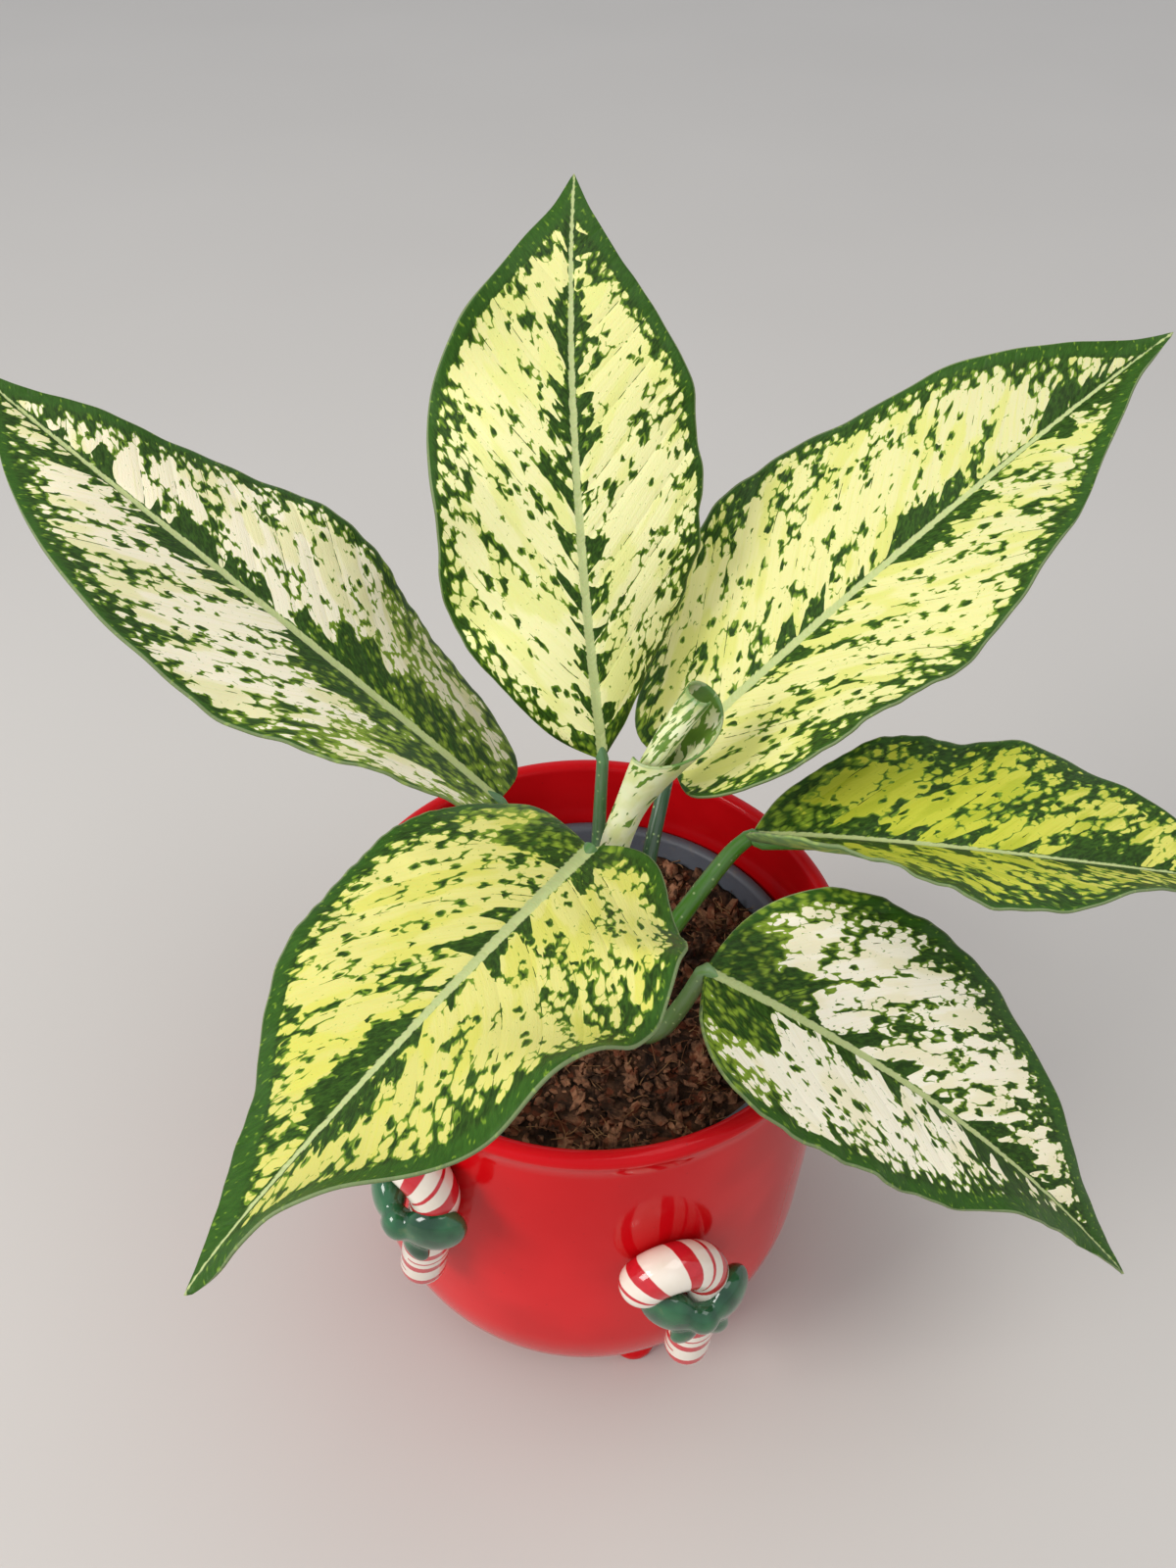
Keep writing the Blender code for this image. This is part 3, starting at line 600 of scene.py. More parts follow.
def soil_spot(draw):
    """A random point on the soil."""
    share = math.sqrt(draw.random()) * 0.985
    turn = draw.uniform(0, math.tau)
    reach = share * (nursery_wall_radius(soil_height(1.0)) - NURSERY_WALL - SOIL_EDGE)
    x = NURSERY_OFFSET[0] + reach * math.cos(turn)
    y = NURSERY_OFFSET[1] + reach * math.sin(turn)
    return Vector((x, y, soil_height(share)))


def add_chip(work, draw):
    """A broken bark chip: a squashed ball with every corner moved a little."""
    spot = soil_spot(draw)
    size = CHIP_SIZE + CHIP_GROWTH * draw.random() ** 2
    shape = Vector((size * draw.uniform(0.8, 2.4), size, size * draw.uniform(0.35, 0.8)))
    angle = draw.uniform(0, math.tau)
    turn = Matrix.Rotation(angle, 4, Vector((draw.gauss(0, 1), draw.gauss(0, 1), 1.5)))
    spot.z += size * draw.uniform(-0.3, 0.25)
    place = Matrix.Translation(spot) @ turn @ Matrix.Diagonal((*shape, 1.0))
    made = bmesh.ops.create_icosphere(work, subdivisions=1, radius=0.6, matrix=place)
    for vertex in made["verts"]:
        vertex.co += Vector([draw.uniform(-1, 1) for _ in range(3)]) * size * 0.24


def make_soil():
    low = nursery_floor() + NURSERY_WALL + GAP
    top_radius = nursery_wall_radius(soil_height(1.0)) - NURSERY_WALL - GAP
    shares = np.linspace(0.0, 1.0, 50)
    profile = [(top_radius * share, soil_height(share)) for share in shares]
    profile += [(nursery_wall_radius(low) - NURSERY_WALL - GAP, low), (0.0, low)]
    mesh = turned("soil_block", profile, NURSERY_OFFSET)
    draw = random.Random(SOIL_SEED)
    for vertex in mesh.vertices:
        crumb = draw.uniform(-1, 1)
        if vertex.co.z > soil_height(1.0) - MM:
            vertex.co.z += CRUMB_HEIGHT * crumb - CRUMB_DEPTH
    add_piece("soil_block", mesh, soil_material("coir soil", "26180F", "5C3E2C"), "coir_soil", "soil")
    mesh = bpy.data.meshes.new("soil_chips")
    with editing(mesh) as work:
        for _ in range(CHIP_COUNT):
            add_chip(work, draw)
    add_piece("soil_chips", mesh, soil_material("bark chips", "3A261B", "AC7A5B"), "coir_soil")
    mesh.shade_flat()
    make_fibres(draw)


def make_fibres(draw):
    """Loose coir fibres, each a thin bent tube lying on the soil."""
    rows = []
    faces = []
    for _ in range(FIBRE_COUNT):
        start = soil_spot(draw)
        heading = draw.uniform(0, math.tau)
        length = draw.uniform(*FIBRE_LENGTHS)
        thickness = draw.uniform(*FIBRE_RADII)
        turn = draw.uniform(-1.2, 1.2)
        rise = draw.uniform(-0.1, 0.35)
        first = len(rows)
        point = start + Vector((0, 0, 0.0004))
        for step in range(FIBRE_STEPS + 1):
            lift = rise * math.cos(math.pi * step / FIBRE_STEPS)
            along = Vector((math.cos(heading), math.sin(heading), lift))
            across = Vector((-math.sin(heading), math.cos(heading), 0))
            for side in range(4):
                angle = math.pi / 2 * side
                rows.append(point + (across * math.cos(angle) + Vector((0, 0, math.sin(angle))))
                            * thickness)
            point = point + along * length / FIBRE_STEPS
            heading += turn / FIBRE_STEPS
        for step in range(FIBRE_STEPS):
            for side in range(4):
                a = first + 4 * step + side
                b = first + 4 * step + (side + 1) % 4
                faces.append((a, b, b + 4, a + 4))
    mesh = bpy.data.meshes.new("soil_fibres")
    mesh.from_pydata(rows, [], faces)
    add_piece("soil_fibres", mesh, soil_material("coir fibre", "6B452C", "B08A60"), "coir_soil")


def smooth_route(points, steps):
    """Points along a Catmull-Rom curve through the given ones, with steps on each stretch."""
    ends = [2 * Vector(points[0]) - Vector(points[1]), 2 * Vector(points[-1]) - Vector(points[-2])]
    knots = [ends[0], *[Vector(point) for point in points], ends[1]]
    route = []
    for index in range(1, len(knots) - 2):
        before, start, end, after = knots[index - 1:index + 3]
        for step in range(steps):
            t = step / steps
            route.append(0.5 * (2 * start + (end - before) * t
                                + (2 * before - 5 * start + 4 * end - after) * t ** 2
                                + (3 * start - before - 3 * end + after) * t ** 3))
    route.append(knots[-2])
    return route


def tube_mesh(name, route, radii, sides):
    """A tube with closed ends, which stores how far along it a point is and which way round."""
    rings = []
    side = None
    for index, point in enumerate(route):
        before = route[max(0, index - 1)]
        after = route[min(len(route) - 1, index + 1)]
        along = (after - before).normalized()
        if side is None:
            side = along.orthogonal().normalized()
        side = (side - along * side.dot(along)).normalized()
        up = along.cross(side)
        ring = []
        for turn in range(sides):
            angle = math.tau * turn / sides
            ring.append(point + (side * math.cos(angle) + up * math.sin(angle)) * radii[index])
        rings.append(ring)
    points = np.array([[list(p) for p in ring] for ring in rings])
    mesh = grid_mesh(name, points, ring=True)
    travelled = np.concatenate([[0.0], np.cumsum([(b - a).length for a, b in zip(route, route[1:])])])
    turns = math.tau * np.arange(sides) / sides
    places = np.stack([np.repeat(travelled / MM, sides), np.tile(np.cos(turns), len(route)),
                       np.tile(np.sin(turns), len(route))], -1)
    add_places(mesh, "tube_place", places)
    with editing(mesh) as work:
        rims = [edge for edge in work.edges if edge.is_boundary]
        bmesh.ops.holes_fill(work, edges=rims, sides=0)
        bmesh.ops.recalc_face_normals(work, faces=work.faces)
    return mesh


def stalk_material(name, code):
    g = Graph(name)
    place = g.place()
    on_tube = g.attribute("tube_place")
    streak = g.noise(g.shift(on_tube, (0.12, 2.2, 2.2)), 1.0, 3.0)
    base = g.smooth(g.parts(on_tube)[0], 16.0, 2.0)
    colour = g.mix(g.smooth(streak, 0.35, 0.7), code, lighter(code))
    colour = g.mix(base * 0.55, colour, "A9B98A")
    spots, pick = g.cells(place, 700.0)
    spots = g.smooth(spots, 0.3, 0.1) * g.smooth(pick, 0.6, 0.8)
    colour = g.mix(spots, colour, "B4CC8C")
    ridges = g.noise(place, 350.0, 2.0)
    return g.finish(colour, 0.36, g.bump(ridges, 0.25, 0.0004), Subsurface_Weight=0.1,
                    Subsurface_Scale=0.002)


def lighter(code):
    """A paler shade of a colour."""
    colour = linear(code)
    return (*[value * 0.8 + 0.08 for value in colour[:3]], 1.0)


def roll_axis():
    """Unit vector up the rolled leaf, and its length."""
    span = Vector(ROLL_TIP) - Vector(ROLL_FOOT)
    return span.normalized(), span.length


def make_stem():
    axis, _ = roll_axis()
    foot = Vector(STEM_FOOT)
    crown = Vector(ROLL_FOOT)
    collar = Vector((foot.x, foot.y, soil_height(0.0) + COLLAR_HEIGHT))
    knuckle = collar.lerp(crown, KNUCKLE_SHARE)
    knots = [foot, collar, knuckle, crown, crown + axis * STEM_TOP_LENGTH]
    radii = [STEM_RADIUS, STEM_RADIUS, KNUCKLE_RADIUS, CROWN_RADIUS, STEM_TOP_RADIUS]
    route = smooth_route(knots, STEM_STEPS)
    widths = list(np.interp(np.arange(len(route)) / STEM_STEPS, range(len(radii)), radii))
    mesh = tube_mesh("stem_core", route, widths, STEM_SIDES)
    add_piece("stem_core", mesh, stalk_material("stem skin", "6F8F50"), "leaf_stalk", "stem")
    for leaf in LEAVES:
        stalk = STALKS[leaf["name"]]
        base = Vector(leaf["base"])
        route = smooth_route([*stalk["route"], base], STALK_STEPS)
        start, finish = stalk["radii"]
        shares = np.linspace(1.0, 0.0, len(route))
        widths = list(finish + (start - finish) * shares ** STALK_TAPER)
        # It runs on under the blade as the midrib
        for row, point in enumerate(midrib_points(leaf, RIB_STEPS)[1:-1], 1):
            t = row / RIB_STEPS
            widths.append(finish * (1 - t) ** 1.2 + 0.0002)
            route.append(point - leaf_frame(leaf, t)[2] * widths[-1] * 0.9)
        name = "stalk_of_" + leaf["name"]
        mesh = tube_mesh(name, route, widths, STALK_SIDES)
        add_piece(name, mesh, stalk_material(name, stalk["colour"]), "leaf_stalk")


def outline_width(t):
    """Half width of a leaf along its length, by a cubic that never overshoots its points."""
    places = np.array(OUTLINE_PLACES)
    widths = np.array(OUTLINE_WIDTHS)
    spans = np.diff(places)
    slopes = np.diff(widths) / spans
    grades = np.zeros(len(places))
    for index in range(1, len(places) - 1):
        before, after = slopes[index - 1], slopes[index]
        if before * after > 0:
            first = 2 * spans[index] + spans[index - 1]
            second = spans[index] + 2 * spans[index - 1]
            grades[index] = (first + second) / (first / before + second / after)
    grades[0] = 1.5 * slopes[0]
    grades[-1] = slopes[-1]
    index = int(np.clip(np.searchsorted(places, t, side="right") - 1, 0, len(spans) - 1))
    x = (t - places[index]) / spans[index]
    start = widths[index] * (1 + 2 * x) * (1 - x) ** 2
    end = widths[index + 1] * x * x * (3 - 2 * x)
    bend = grades[index] * x * (1 - x) ** 2 + grades[index + 1] * x * x * (x - 1)
    return start + end + spans[index] * bend


def leaf_frame(leaf, t):
    """Directions along, across and out of a blade at a place t along its midrib."""
    tip_share = max(0.0, (t - TIP_PLACE) / (1 - TIP_PLACE))
    rise = leaf["rise"] - leaf["droop"] * t ** leaf["bend"] - leaf["tip_droop"] * tip_share ** 2
    rise = math.radians(rise)
    heading = math.radians(leaf["heading"] + leaf["sweep"] * t)
    along = Vector((math.cos(rise) * math.cos(heading), math.cos(rise) * math.sin(heading),
                    math.sin(rise)))
    level = Vector((math.sin(heading), -math.cos(heading), 0.0))
    upward = level.cross(along)
    roll = math.radians(leaf["roll"] + leaf["twist"] * t)
    across = math.cos(roll) * level + math.sin(roll) * upward
    out = math.cos(roll) * upward - math.sin(roll) * level
    return along, across, out


def midrib_points(leaf, steps):
    """Evenly spaced points along a leaf's midrib."""
    points = [Vector(leaf["base"])]
    for step in range(steps):
        along = leaf_frame(leaf, (step + 0.5) / steps)[0]
        points.append(points[-1] + along * leaf["length"] * BLADE_SHARE / steps)
    return points


def half_width(leaf, t, side):
    """Flat half width of a blade, side 1 on the right and -1 on the left."""
    pick = 0 if side > 0 else 1
    half = leaf["ratio"] * leaf["length"] / 2 * outline_width(t ** leaf["fullness"][pick])
    return half * (1 + side * leaf["uneven"])


def blade_point(leaf, middle, t, s):
    """A point of the blade: t runs from base to tip, s from -1 on the left to 1 on the right."""
    along, across, out = leaf_frame(leaf, t)
    side = 1 if s > 0 else -1
    pick = 0 if s > 0 else 1
    reach = abs(s)
    half = half_width(leaf, t, side)
    curl = leaf["curl"][pick] * math.exp(-(t / CURL_REACH) ** 2)
    sideways = 0.0
    upwards = 0.0
    for step in range(ARC_STEPS):
        place = reach * (step + 0.5) / ARC_STEPS
        angle = leaf["fold"][pick] * (1 - FOLD_EASE * place) + curl * place ** CURL_BEND
        sideways += math.cos(math.radians(angle)) * reach / ARC_STEPS
        upwards += math.sin(math.radians(angle)) * reach / ARC_STEPS
    height, count, phase = leaf["waves"][pick]
    wave = height * reach ** 2 * math.sin(math.tau * (count * t + phase))
    wave *= math.sqrt(max(0.0, math.sin(math.pi * t)))
    lobe = leaf["lobe"] * leaf["length"] * reach ** LOBE_BEND
    lobe *= t / LOBE_PLACE * math.exp(1 - t / LOBE_PLACE)
    return (middle + side * across * half * sideways + out * (half * upwards + wave)
            - along * lobe)


def leaf_material(name, look, under=False):
    """Pale blotches on dark green, drawn out along the side veins, with a sage midrib.

    The mesh stores for each point its share of the way to the margin, its place along the
    leaf from 0 to 1, and its distances across and along the leaf in millimetres.
    """
    g = Graph(name)
    share, t, _ = g.parts(g.attribute("leaf_share"))
    across, along, _ = g.parts(g.attribute("leaf_place"))
    reach = g.math("MAXIMUM", abs(share), 0.02)
    off = abs(across)
    # Side veins leave the midrib and bend towards the tip: this is constant along each vein
    vein = along - off ** 1.12 * 0.78
    flat = g.vector(across + 70 * look["seed"], vein, look["seed"])
    # Warped places: drawn for the small spots, and long for the large ones and the fields
    warp = g.noise(flat, 0.55, 1.0, output="Color")
    drawn = g.vector(across * 0.9 + 67 * look["seed"], (along - off * 0.5) * 0.75, look["seed"])
    drawn = g.shift(warp, (2.2, 1.9, 0.0), drawn)
    long = g.shift(flat, (0.60, 0.75, 1.0), (31.0, 17.0, 0.0))
    long = g.shift(warp, (1.2, 1.5, 0.0), long)
    # How far pale spots spread: broad and middling fields, less at the margin and the midrib
    broad = (g.noise(long, 0.09, 1.0) - 0.5) * 0.8
    middle = g.noise(long, 0.28, 2.0) - 0.5
    foot = g.smooth(t + broad * 0.5, look["foot"], look["foot"] * 0.3)
    wedge = g.noise(g.vector(0.0, vein + share * 9.0, look["seed"]), 0.14, 2.0)
    wedge = g.smooth(wedge, 0.45, 0.64) * 5.5 + foot * 12.0 + 0.9
    spread = broad + middle + look["cover"] - g.smooth(off / wedge, 1.15, 0.75) * 0.55
    inward = off / reach - off - g.smooth(t, 0.35, 1.0) * look["tip_margin"] - look["margin"]
    shore = g.smooth(inward + broad * 4.0, 7.5, 0.5)
    # Small spots, and large ones inside the margin, melt together where they spread far
    distance, pick = g.cells(drawn, 0.52, flat=True)
    radius = (spread - pick * 0.24 - shore * 0.26) * g.smooth(inward, 0.4, 1.4)
    inside = (radius - distance) * 1.9
    distance, pick = g.cells(long, 0.21, flat=True)
    radius = spread - pick * 0.26 - shore * 0.9 - 0.06
    inside = g.math("MAXIMUM", inside, (radius - distance) * 4.8)
    distance, pick = g.cells(drawn, 0.50, flat=True)
    inside = g.math("MINIMUM", inside, (distance - g.smooth(pick, 0.76, 1.0) * 0.4) * 2.0)
    rib_off = abs(g.math("FRACT", (vein + middle) / VEIN_SPACING) - 0.5)
    line = g.smooth(rib_off, 0.018, 0.005) * g.smooth(g.noise(drawn, 0.25, 1.0), 0.52, 0.60)
    inside = inside - line
    core = g.smooth(inside, 0.0, 0.14)
    halo = g.smooth(inside, -0.36 - foot * 0.9, 0.0)
    # Colours
    fine = g.noise(flat, 1.1, 3.0)
    streaks = g.noise(g.shift(flat, (0.10, 1.3, 1.0)), 1.0, 2.0)
    green = g.mix(g.smooth(fine, 0.3, 0.75), "22390D", "385A19")
    green = g.mix(g.smooth(inward, 1.5, -0.5) * 0.5, green, "36611B")
    pale = g.mix(g.smooth(t, 0.40, 0.80), look["pale"], look["tip"])
    patchy = g.smooth(g.noise(long, 0.15, 1.0), 0.50, 0.60) * 0.6
    pale = g.mix(patchy, pale, look["patch"])
    pale = g.mix(g.smooth(streaks, 0.45, 0.75) * 0.35, pale, look["patch"])
    lime = g.mix(foot, "7E9F2C", "9DB838")
    colour = g.mix(core, g.mix(halo * 0.75, green, lime), pale)
    # Midrib and the pale line along the edge
    width = (1.0 - t) ** 0.8 * look["midrib"] - (g.noise(flat, 0.8, 3.0) - 0.5) + 0.15
    sage = g.mix(streaks, "AEBE76", "CCD299")
    colour = g.mix(g.smooth(off - width, 0.20, -0.14) * 0.95, colour, sage)
    colour = g.mix(g.smooth(reach, 0.985, 0.994) * 0.35, colour, "B9C492")
    if under:
        colour = g.mix(0.55, colour, "8DAA74")
    # Relief: quilting between side veins, a groove over the midrib and fine grain
    quilt = (1.0 - rib_off * 2.0) ** 3.0
    height = g.smooth(off, 0.0, 2.2) * 0.5 - quilt * 0.4 + (g.noise(flat, 2.6, 3.0) + streaks) * 0.16
    return g.finish(colour, fine * 0.14 + (0.50 if under else 0.34), g.bump(height, 0.6, 0.0008),
                    Subsurface_Weight=0.06, Subsurface_Scale=0.001, Specular_IOR_Level=0.14)


def add_thickness(piece, thickness):
    """Give a surface thickness, with its second material on the far side."""
    shell = piece.modifiers.new("thickness", "SOLIDIFY")
    shell.thickness = thickness
    shell.offset = 0.0
    shell.material_offset = 1


def ruffle(leaf, t, s):
    """Small waves along a leaf's margin, which also draw it in here and there."""
    _, across, out = leaf_frame(leaf, t)
    fade = abs(s) ** 3 * math.sin(math.pi * t)
    turns = RUFFLES[1 if s > 0 else 0] * t + 2.0 * math.sin(5 * t) + s
    high = RUFFLE_HEIGHT * math.sin(math.pi * turns) + 0.4 * RUFFLE_HEIGHT * math.sin(8 * turns)
    inwards = RUFFLE_DEPTH * (math.sin(math.pi * turns + leaf["heading"]) - 1.3)
    return (out * high + across * inwards * (1 if s > 0 else -1)) * fade


def make_blades():
    for leaf in LEAVES:
        midrib = midrib_points(leaf, BLADE_ROWS)
        points = np.zeros((BLADE_ROWS + 1, BLADE_COLUMNS + 1, 3))
        shares = np.zeros_like(points)
        places = np.zeros_like(points)
        for row in range(BLADE_ROWS + 1):
            t = row / BLADE_ROWS
            halves = {side: half_width(leaf, t, side) / MM for side in (1, -1)}
            for column in range(BLADE_COLUMNS + 1):
                s = 2 * column / BLADE_COLUMNS - 1
                points[row, column] = blade_point(leaf, midrib[row], t, s) + ruffle(leaf, t, s)
                shares[row, column] = (s, t, 0.0)
                places[row, column] = (s * halves[1 if s > 0 else -1], t * leaf["length"] / MM, 0.0)
        name = leaf["name"] + "_blade"
        mesh = grid_mesh(name, points)
        add_places(mesh, "leaf_share", shares)
        add_places(mesh, "leaf_place", places)
        with editing(mesh) as work:
            bmesh.ops.remove_doubles(work, verts=work.verts, dist=BLADE_WELD)
        look = BLOTCHES[leaf["name"]]
        blade = add_piece(name, mesh, leaf_material(name, look), "leaf_blade", leaf["name"])
        mesh.materials.append(leaf_material(name + " underside", look, under=True))
        add_thickness(blade, BLADE_THICKNESS)


def roll_material(name, inside=False):
    """Smooth cream outside with green flecks, and streaked with green inside and up the scroll."""
    g = Graph(name)
    u, height, row = g.parts(g.attribute("roll_place"))
    drawn = g.vector(u * 14.0 + height * 4.0, height * 16.0)
    soft = g.noise(drawn, 0.8, 2.0)
    cream = g.mix(g.smooth(soft, 0.35, 0.7), "EAEBC2", "D6DC98")
    warp = g.noise(drawn, 1.1, 3.0)
    streak = g.noise(g.vector(u * 11.0 + height * 9.0 + warp, height * 4.0 - u * 3.0), 2.1, 2.0)
    reach = g.smooth(u, 0.62, 0.40) * 0.10 + g.smooth(u, 0.88, 1.0) * 0.04
    if inside:
        reach = 0.14
    streaks = g.smooth(streak + reach, 0.60, 0.64)
    colour = g.mix(streaks, cream, g.mix(warp, "35601F", "7FA23C"))
    tip = g.smooth(height + warp * 0.1, 0.96, 1.05)
    colour = g.mix(tip * 0.4, colour, "3A6B2C")
    rim = g.smooth(row, 0.985, 0.995)
    colour = g.mix(rim * 0.6, colour, "55803A")
    fine = g.noise(drawn, 9.0, 2.0)
    return g.finish(colour, 0.40, g.bump(fine, 0.15, 0.0004), Subsurface_Weight=0.12,
                    Subsurface_Scale=0.0015)


def ease(value, low, high):
    """0 below low, 1 above high and a soft step between."""
    share = min(1.0, max(0.0, (value - low) / (high - low)))
    return share * share * (3 - 2 * share)


def roll_height(v, u):
    """Share of the way up the rolled leaf, lower towards its free edge."""
    return v * (1 - ROLL_SLANT * ease(u, *ROLL_SLANT_SHARES))


def roll_point(foot, axis, length, across, v, u):
    """A point of the rolled leaf: v runs up it, and u from its inner edge to its free edge."""
    height = roll_height(v, u)
    outside = ROLL_FOOT_RADIUS + ROLL_WIDENING * height
    radius = ROLL_CORE_RADIUS + (outside - ROLL_CORE_RADIUS) * u
    radius += ROLL_FLARE * ease(height, ROLL_OPENS_AT, 1.0) * ease(u, *ROLL_FLARE_SHARES)
    turn = math.radians(ROLL_EDGE_AZIMUTH + (1 - u) * ROLL_WRAP)
    out = across * math.cos(turn) + axis.cross(across) * math.sin(turn)
    bend = Vector(ROLL_BEND) * math.sin(math.pi * height)
    return foot + axis * (height * length) + bend + out * radius


def make_new_leaf():
    """A leaf still rolled into a scroll, its mouth cut aslant and its free edge flaring."""
    axis, length = roll_axis()
    foot = Vector(ROLL_FOOT) + axis * (STEM_TOP_LENGTH + GAP)
    length -= STEM_TOP_LENGTH
    across = Vector((1.0, 0.0, 0.0))
    across = (across - axis * across.dot(axis)).normalized()
    points = np.zeros((ROLL_ROWS + 1, ROLL_COLUMNS + 1, 3))
    places = np.zeros_like(points)
    for row in range(ROLL_ROWS + 1):
        v = row / ROLL_ROWS
        for column in range(ROLL_COLUMNS + 1):
            u = column / ROLL_COLUMNS
            points[row, column] = roll_point(foot, axis, length, across, v, u)
            places[row, column] = (u, roll_height(v, u), v)
    mesh = grid_mesh("new_leaf_roll", points)
    add_places(mesh, "roll_place", places)
    inside = roll_material("rolled leaf inside", inside=True)
    piece = add_piece("new_leaf_roll", mesh, inside, "rolled_leaf", "new_leaf")
    mesh.materials.append(roll_material("rolled leaf"))
    add_thickness(piece, ROLL_THICKNESS)


def cane_route(azimuth, top, lean):
    """Centre line of a cane on the wall, from its foot up the stem and round the hook."""
    bend_height = top - CANE_RADIUS - CANE_BEND_RADIUS
    foot_height = top - CANE_LENGTH + CANE_RADIUS / 3
    straight = bend_height - foot_height
    whole = straight + math.pi * CANE_BEND_RADIUS
    pivot = top - CANE_LENGTH / 2
    route = []
    for step in range(CANE_STEPS + 1):
        distance = whole * step / CANE_STEPS
        if distance < straight:
            across, height = CANE_BEND_RADIUS, foot_height + distance
        else:
            angle = (distance - straight) / CANE_BEND_RADIUS
            across = CANE_BEND_RADIUS * math.cos(angle)
            height = bend_height + CANE_BEND_RADIUS * math.sin(angle)
        tilt = math.radians(lean)
        rise = height - pivot
        across, height = (across * math.cos(tilt) + rise * math.sin(tilt),
                          pivot + rise * math.cos(tilt) - across * math.sin(tilt))
        radius = wall_radius(height) + GAP + CANE_RADIUS
        route.append(polar(radius, azimuth + math.degrees(across / radius), height))
    return route


def cane_material():
    """Ivory glaze with a wide red stripe wound round the cane, and a thin one every other turn."""
    g = Graph("cane glaze")
    travelled, x, y = g.parts(g.attribute("tube_place"))
    place = g.place()
    turn = g.math("ARCTAN2", y, x) / math.tau
    winds = travelled / STRIPE_PITCH - turn + g.noise(place, 150.0, 2.0) * 0.08 + STRIPE_START
    phase = g.math("FRACT", winds)
    wide = g.smooth(phase, 0.00, 0.03) * g.smooth(phase, 0.36, 0.33)
    thin = g.smooth(phase, 0.61, 0.64) * g.smooth(phase, 0.73, 0.70)
    stripes = g.math("MAXIMUM", wide, thin * g.smooth(g.math("FRACT", winds / 2.0), 0.5, 0.48))
    cloud = g.noise(place, 220.0, 2.0)
    ivory = g.mix(cloud, "E6D9C6", "F4ECDF")
    red = g.mix(g.noise(place, 500.0, 2.0), "B8141F", "D62430")
    return g.finish(g.mix(stripes, ivory, red), 0.14, g.bump(stripes * 0.3 + cloud * 0.5, 0.25, 0.0005),
                    Coat_Weight=0.4, Coat_Roughness=0.05)


def bow_material():
    g = Graph("bow glaze")
    place = g.place()
    cloud = g.noise(place, 130.0, 2.0)
    colour = g.mix(g.smooth(cloud, 0.3, 0.7), "0F3F26", "2C6A42")
    thin = g.noise(place, 260.0, 3.0)
    colour = g.mix(g.smooth(thin, 0.60, 0.78) * 0.55, colour, "5E6E48")
    return g.finish(colour, 0.12, g.bump(cloud, 0.35, 0.0006), Coat_Weight=0.4, Coat_Roughness=0.04)


def add_ellipsoid(work, size, centre, turn, place):
    shape = Matrix.LocRotScale(Vector(centre), turn, Vector(size) * BOW_SWELL)
    bmesh.ops.create_uvsphere(work, u_segments=28, v_segments=18, radius=1.0, matrix=place @ shape)


def make_bow(index, azimuth, height, material):
    """A knot with two loops and two tails, melted together as under a thick glaze."""
    radius = wall_radius(height) + GAP + 2 * CANE_RADIUS + KNOT_SIZE[1] / 2
    spot = polar(radius, azimuth + math.degrees(BOW_SIDEWAYS / radius), height)
    place = Matrix.Translation(spot) @ Matrix.Rotation(math.radians(azimuth), 4, "Z")
    name = f"bow_{index}_glazed"
    mesh = bpy.data.meshes.new(name)
    with editing(mesh) as work:
        add_ellipsoid(work, KNOT_SIZE, (0, 0, 0), None, place)
        for side in (-1, 1):
            mirror = Vector((side, 1, 1))
            sweep = Matrix.Rotation(math.radians(side * LOOP_SWEEP), 3, "Z")
            lift = Matrix.Rotation(math.radians(-side * LOOP_LIFT), 3, "Y")
            turn = (sweep @ lift).to_quaternion()
            add_ellipsoid(work, LOOP_SIZE, Vector(LOOP_PLACE) * mirror, turn, place)
            turn = Matrix.Rotation(math.radians(-side * TAIL_TURN), 3, "Y").to_quaternion()
            add_ellipsoid(work, TAIL_SIZE, Vector(TAIL_PLACE) * mirror, turn, place)
    piece = add_piece(name, mesh, material, "bow_glaze", f"bow_{index}")
    melt = piece.modifiers.new("melt", "REMESH")
    melt.mode = "VOXEL"
    melt.voxel_size = BOW_VOXEL
    melt.use_smooth_shade = True
    soften = piece.modifiers.new("soften", "SMOOTH")
    soften.factor = BOW_SOFTENING
    soften.iterations = BOW_SOFT_ROUNDS
    apply_modifiers(piece)
    piece.data.shade_smooth()


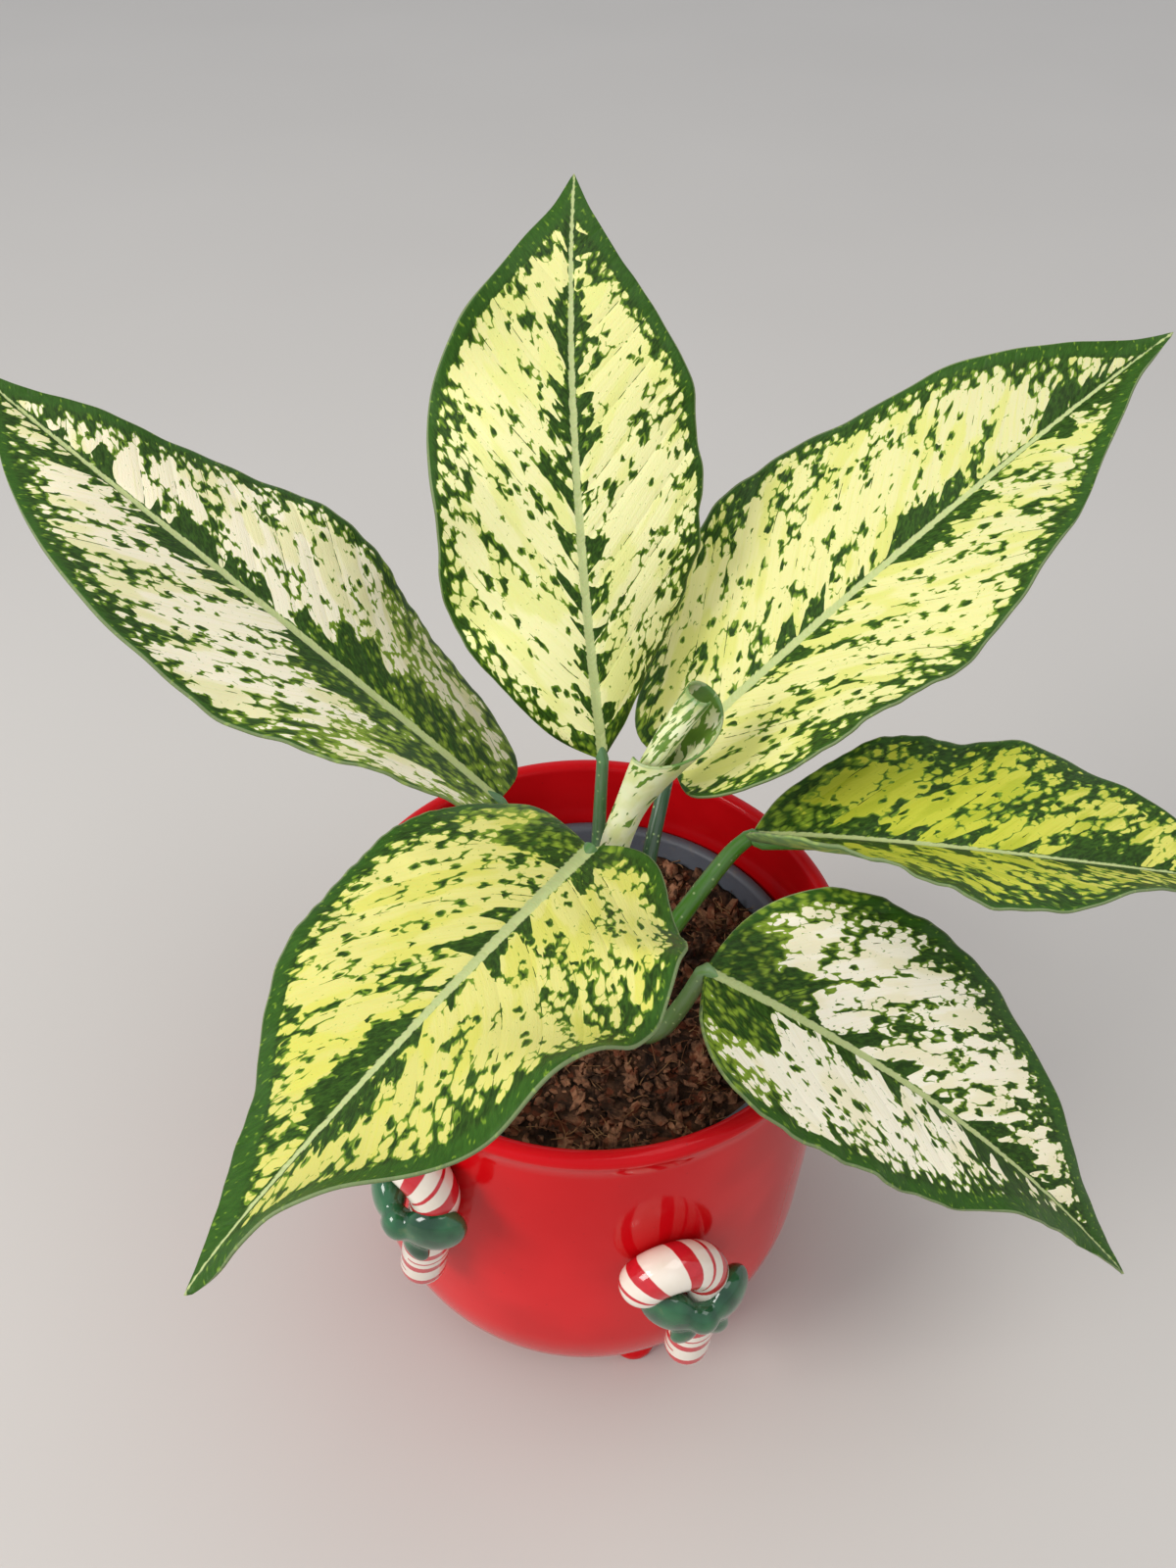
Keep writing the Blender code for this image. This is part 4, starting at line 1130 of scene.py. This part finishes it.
def make_ornaments():
    cane_finish = cane_material()
    bow_finish = bow_material()
    for index in range(2 * CANE_PAIRS):
        kind = (LOW_CANE, HIGH_CANE)[index % 2]
        azimuth = kind["azimuth"] + 360 * (index // 2) / CANE_PAIRS
        route = cane_route(azimuth, kind["top"], kind["lean"])
        radii = []
        for step in range(CANE_STEPS + 1):
            to_end = min(1.0, min(step, CANE_STEPS - step) / CANE_END_STEPS)
            radii.append(CANE_RADIUS * (0.15 + 0.85 * math.sqrt(1 - (1 - to_end) ** 2)))
        name = f"cane_{index + 1}_glazed"
        mesh = tube_mesh(name, route, radii, CANE_SIDES)
        add_piece(name, mesh, cane_finish, "cane_glaze", f"cane_{index + 1}")
        make_bow(index + 1, azimuth, kind["top"] - BOW_BELOW_TOP, bow_finish)


def make_floor():
    g = Graph("pale floor")
    shade = g.noise(g.place(), 3.0, 2.0)
    g.finish(g.mix(shade, "BFBBB5", "C7C3BD"), 0.6)
    mesh = bpy.data.meshes.new("floor")
    with editing(mesh) as work:
        bmesh.ops.create_grid(work, x_segments=1, y_segments=1, size=FLOOR_HALF)
    mesh.materials.append(g.material)
    add_object("floor", mesh)


def add_area(name, place, size, energy, colour):
    light = bpy.data.lights.new(name, "AREA")
    light.size = size
    light.energy = energy
    light.color = colour
    lamp = add_object(name, light)
    lamp.location = place
    way = Vector(LIGHT_TARGET) - Vector(place)
    lamp.rotation_euler = way.to_track_quat("-Z", "Y").to_euler()


def make_light():
    world = bpy.data.worlds.new("studio")
    bpy.context.scene.world = world
    world.use_nodes = True
    background = world.node_tree.nodes["Background"]
    background.inputs["Color"].default_value = SKY_COLOUR
    background.inputs["Strength"].default_value = SKY_STRENGTH
    for light in LIGHTS:
        add_area(**light)


def make_camera():
    data = bpy.data.cameras.new("camera")
    data.lens = CAMERA_LENS
    data.clip_start = 0.01
    pitch = math.radians(CAMERA_PITCH)
    roll = math.radians(CAMERA_ROLL)
    forward = Vector((0.0, math.cos(pitch), -math.sin(pitch)))
    upward = Vector((0.0, math.sin(pitch), math.cos(pitch)))
    level = Vector((1.0, 0.0, 0.0))
    right = level * math.cos(roll) + upward * math.sin(roll)
    up = upward * math.cos(roll) - level * math.sin(roll)
    camera = add_object("camera", data)
    turn = Matrix((right, up, -forward)).transposed()
    camera.matrix_world = Matrix.Translation(CAMERA_PLACE) @ turn.to_4x4()
    bpy.context.scene.camera = camera


bpy.context.scene.view_settings.view_transform = "Standard"
make_planter()
make_nursery_pot()
make_soil()
make_stem()
make_blades()
make_new_leaf()
make_ornaments()
make_floor()
make_light()
make_camera()
bpy.context.view_layer.update()
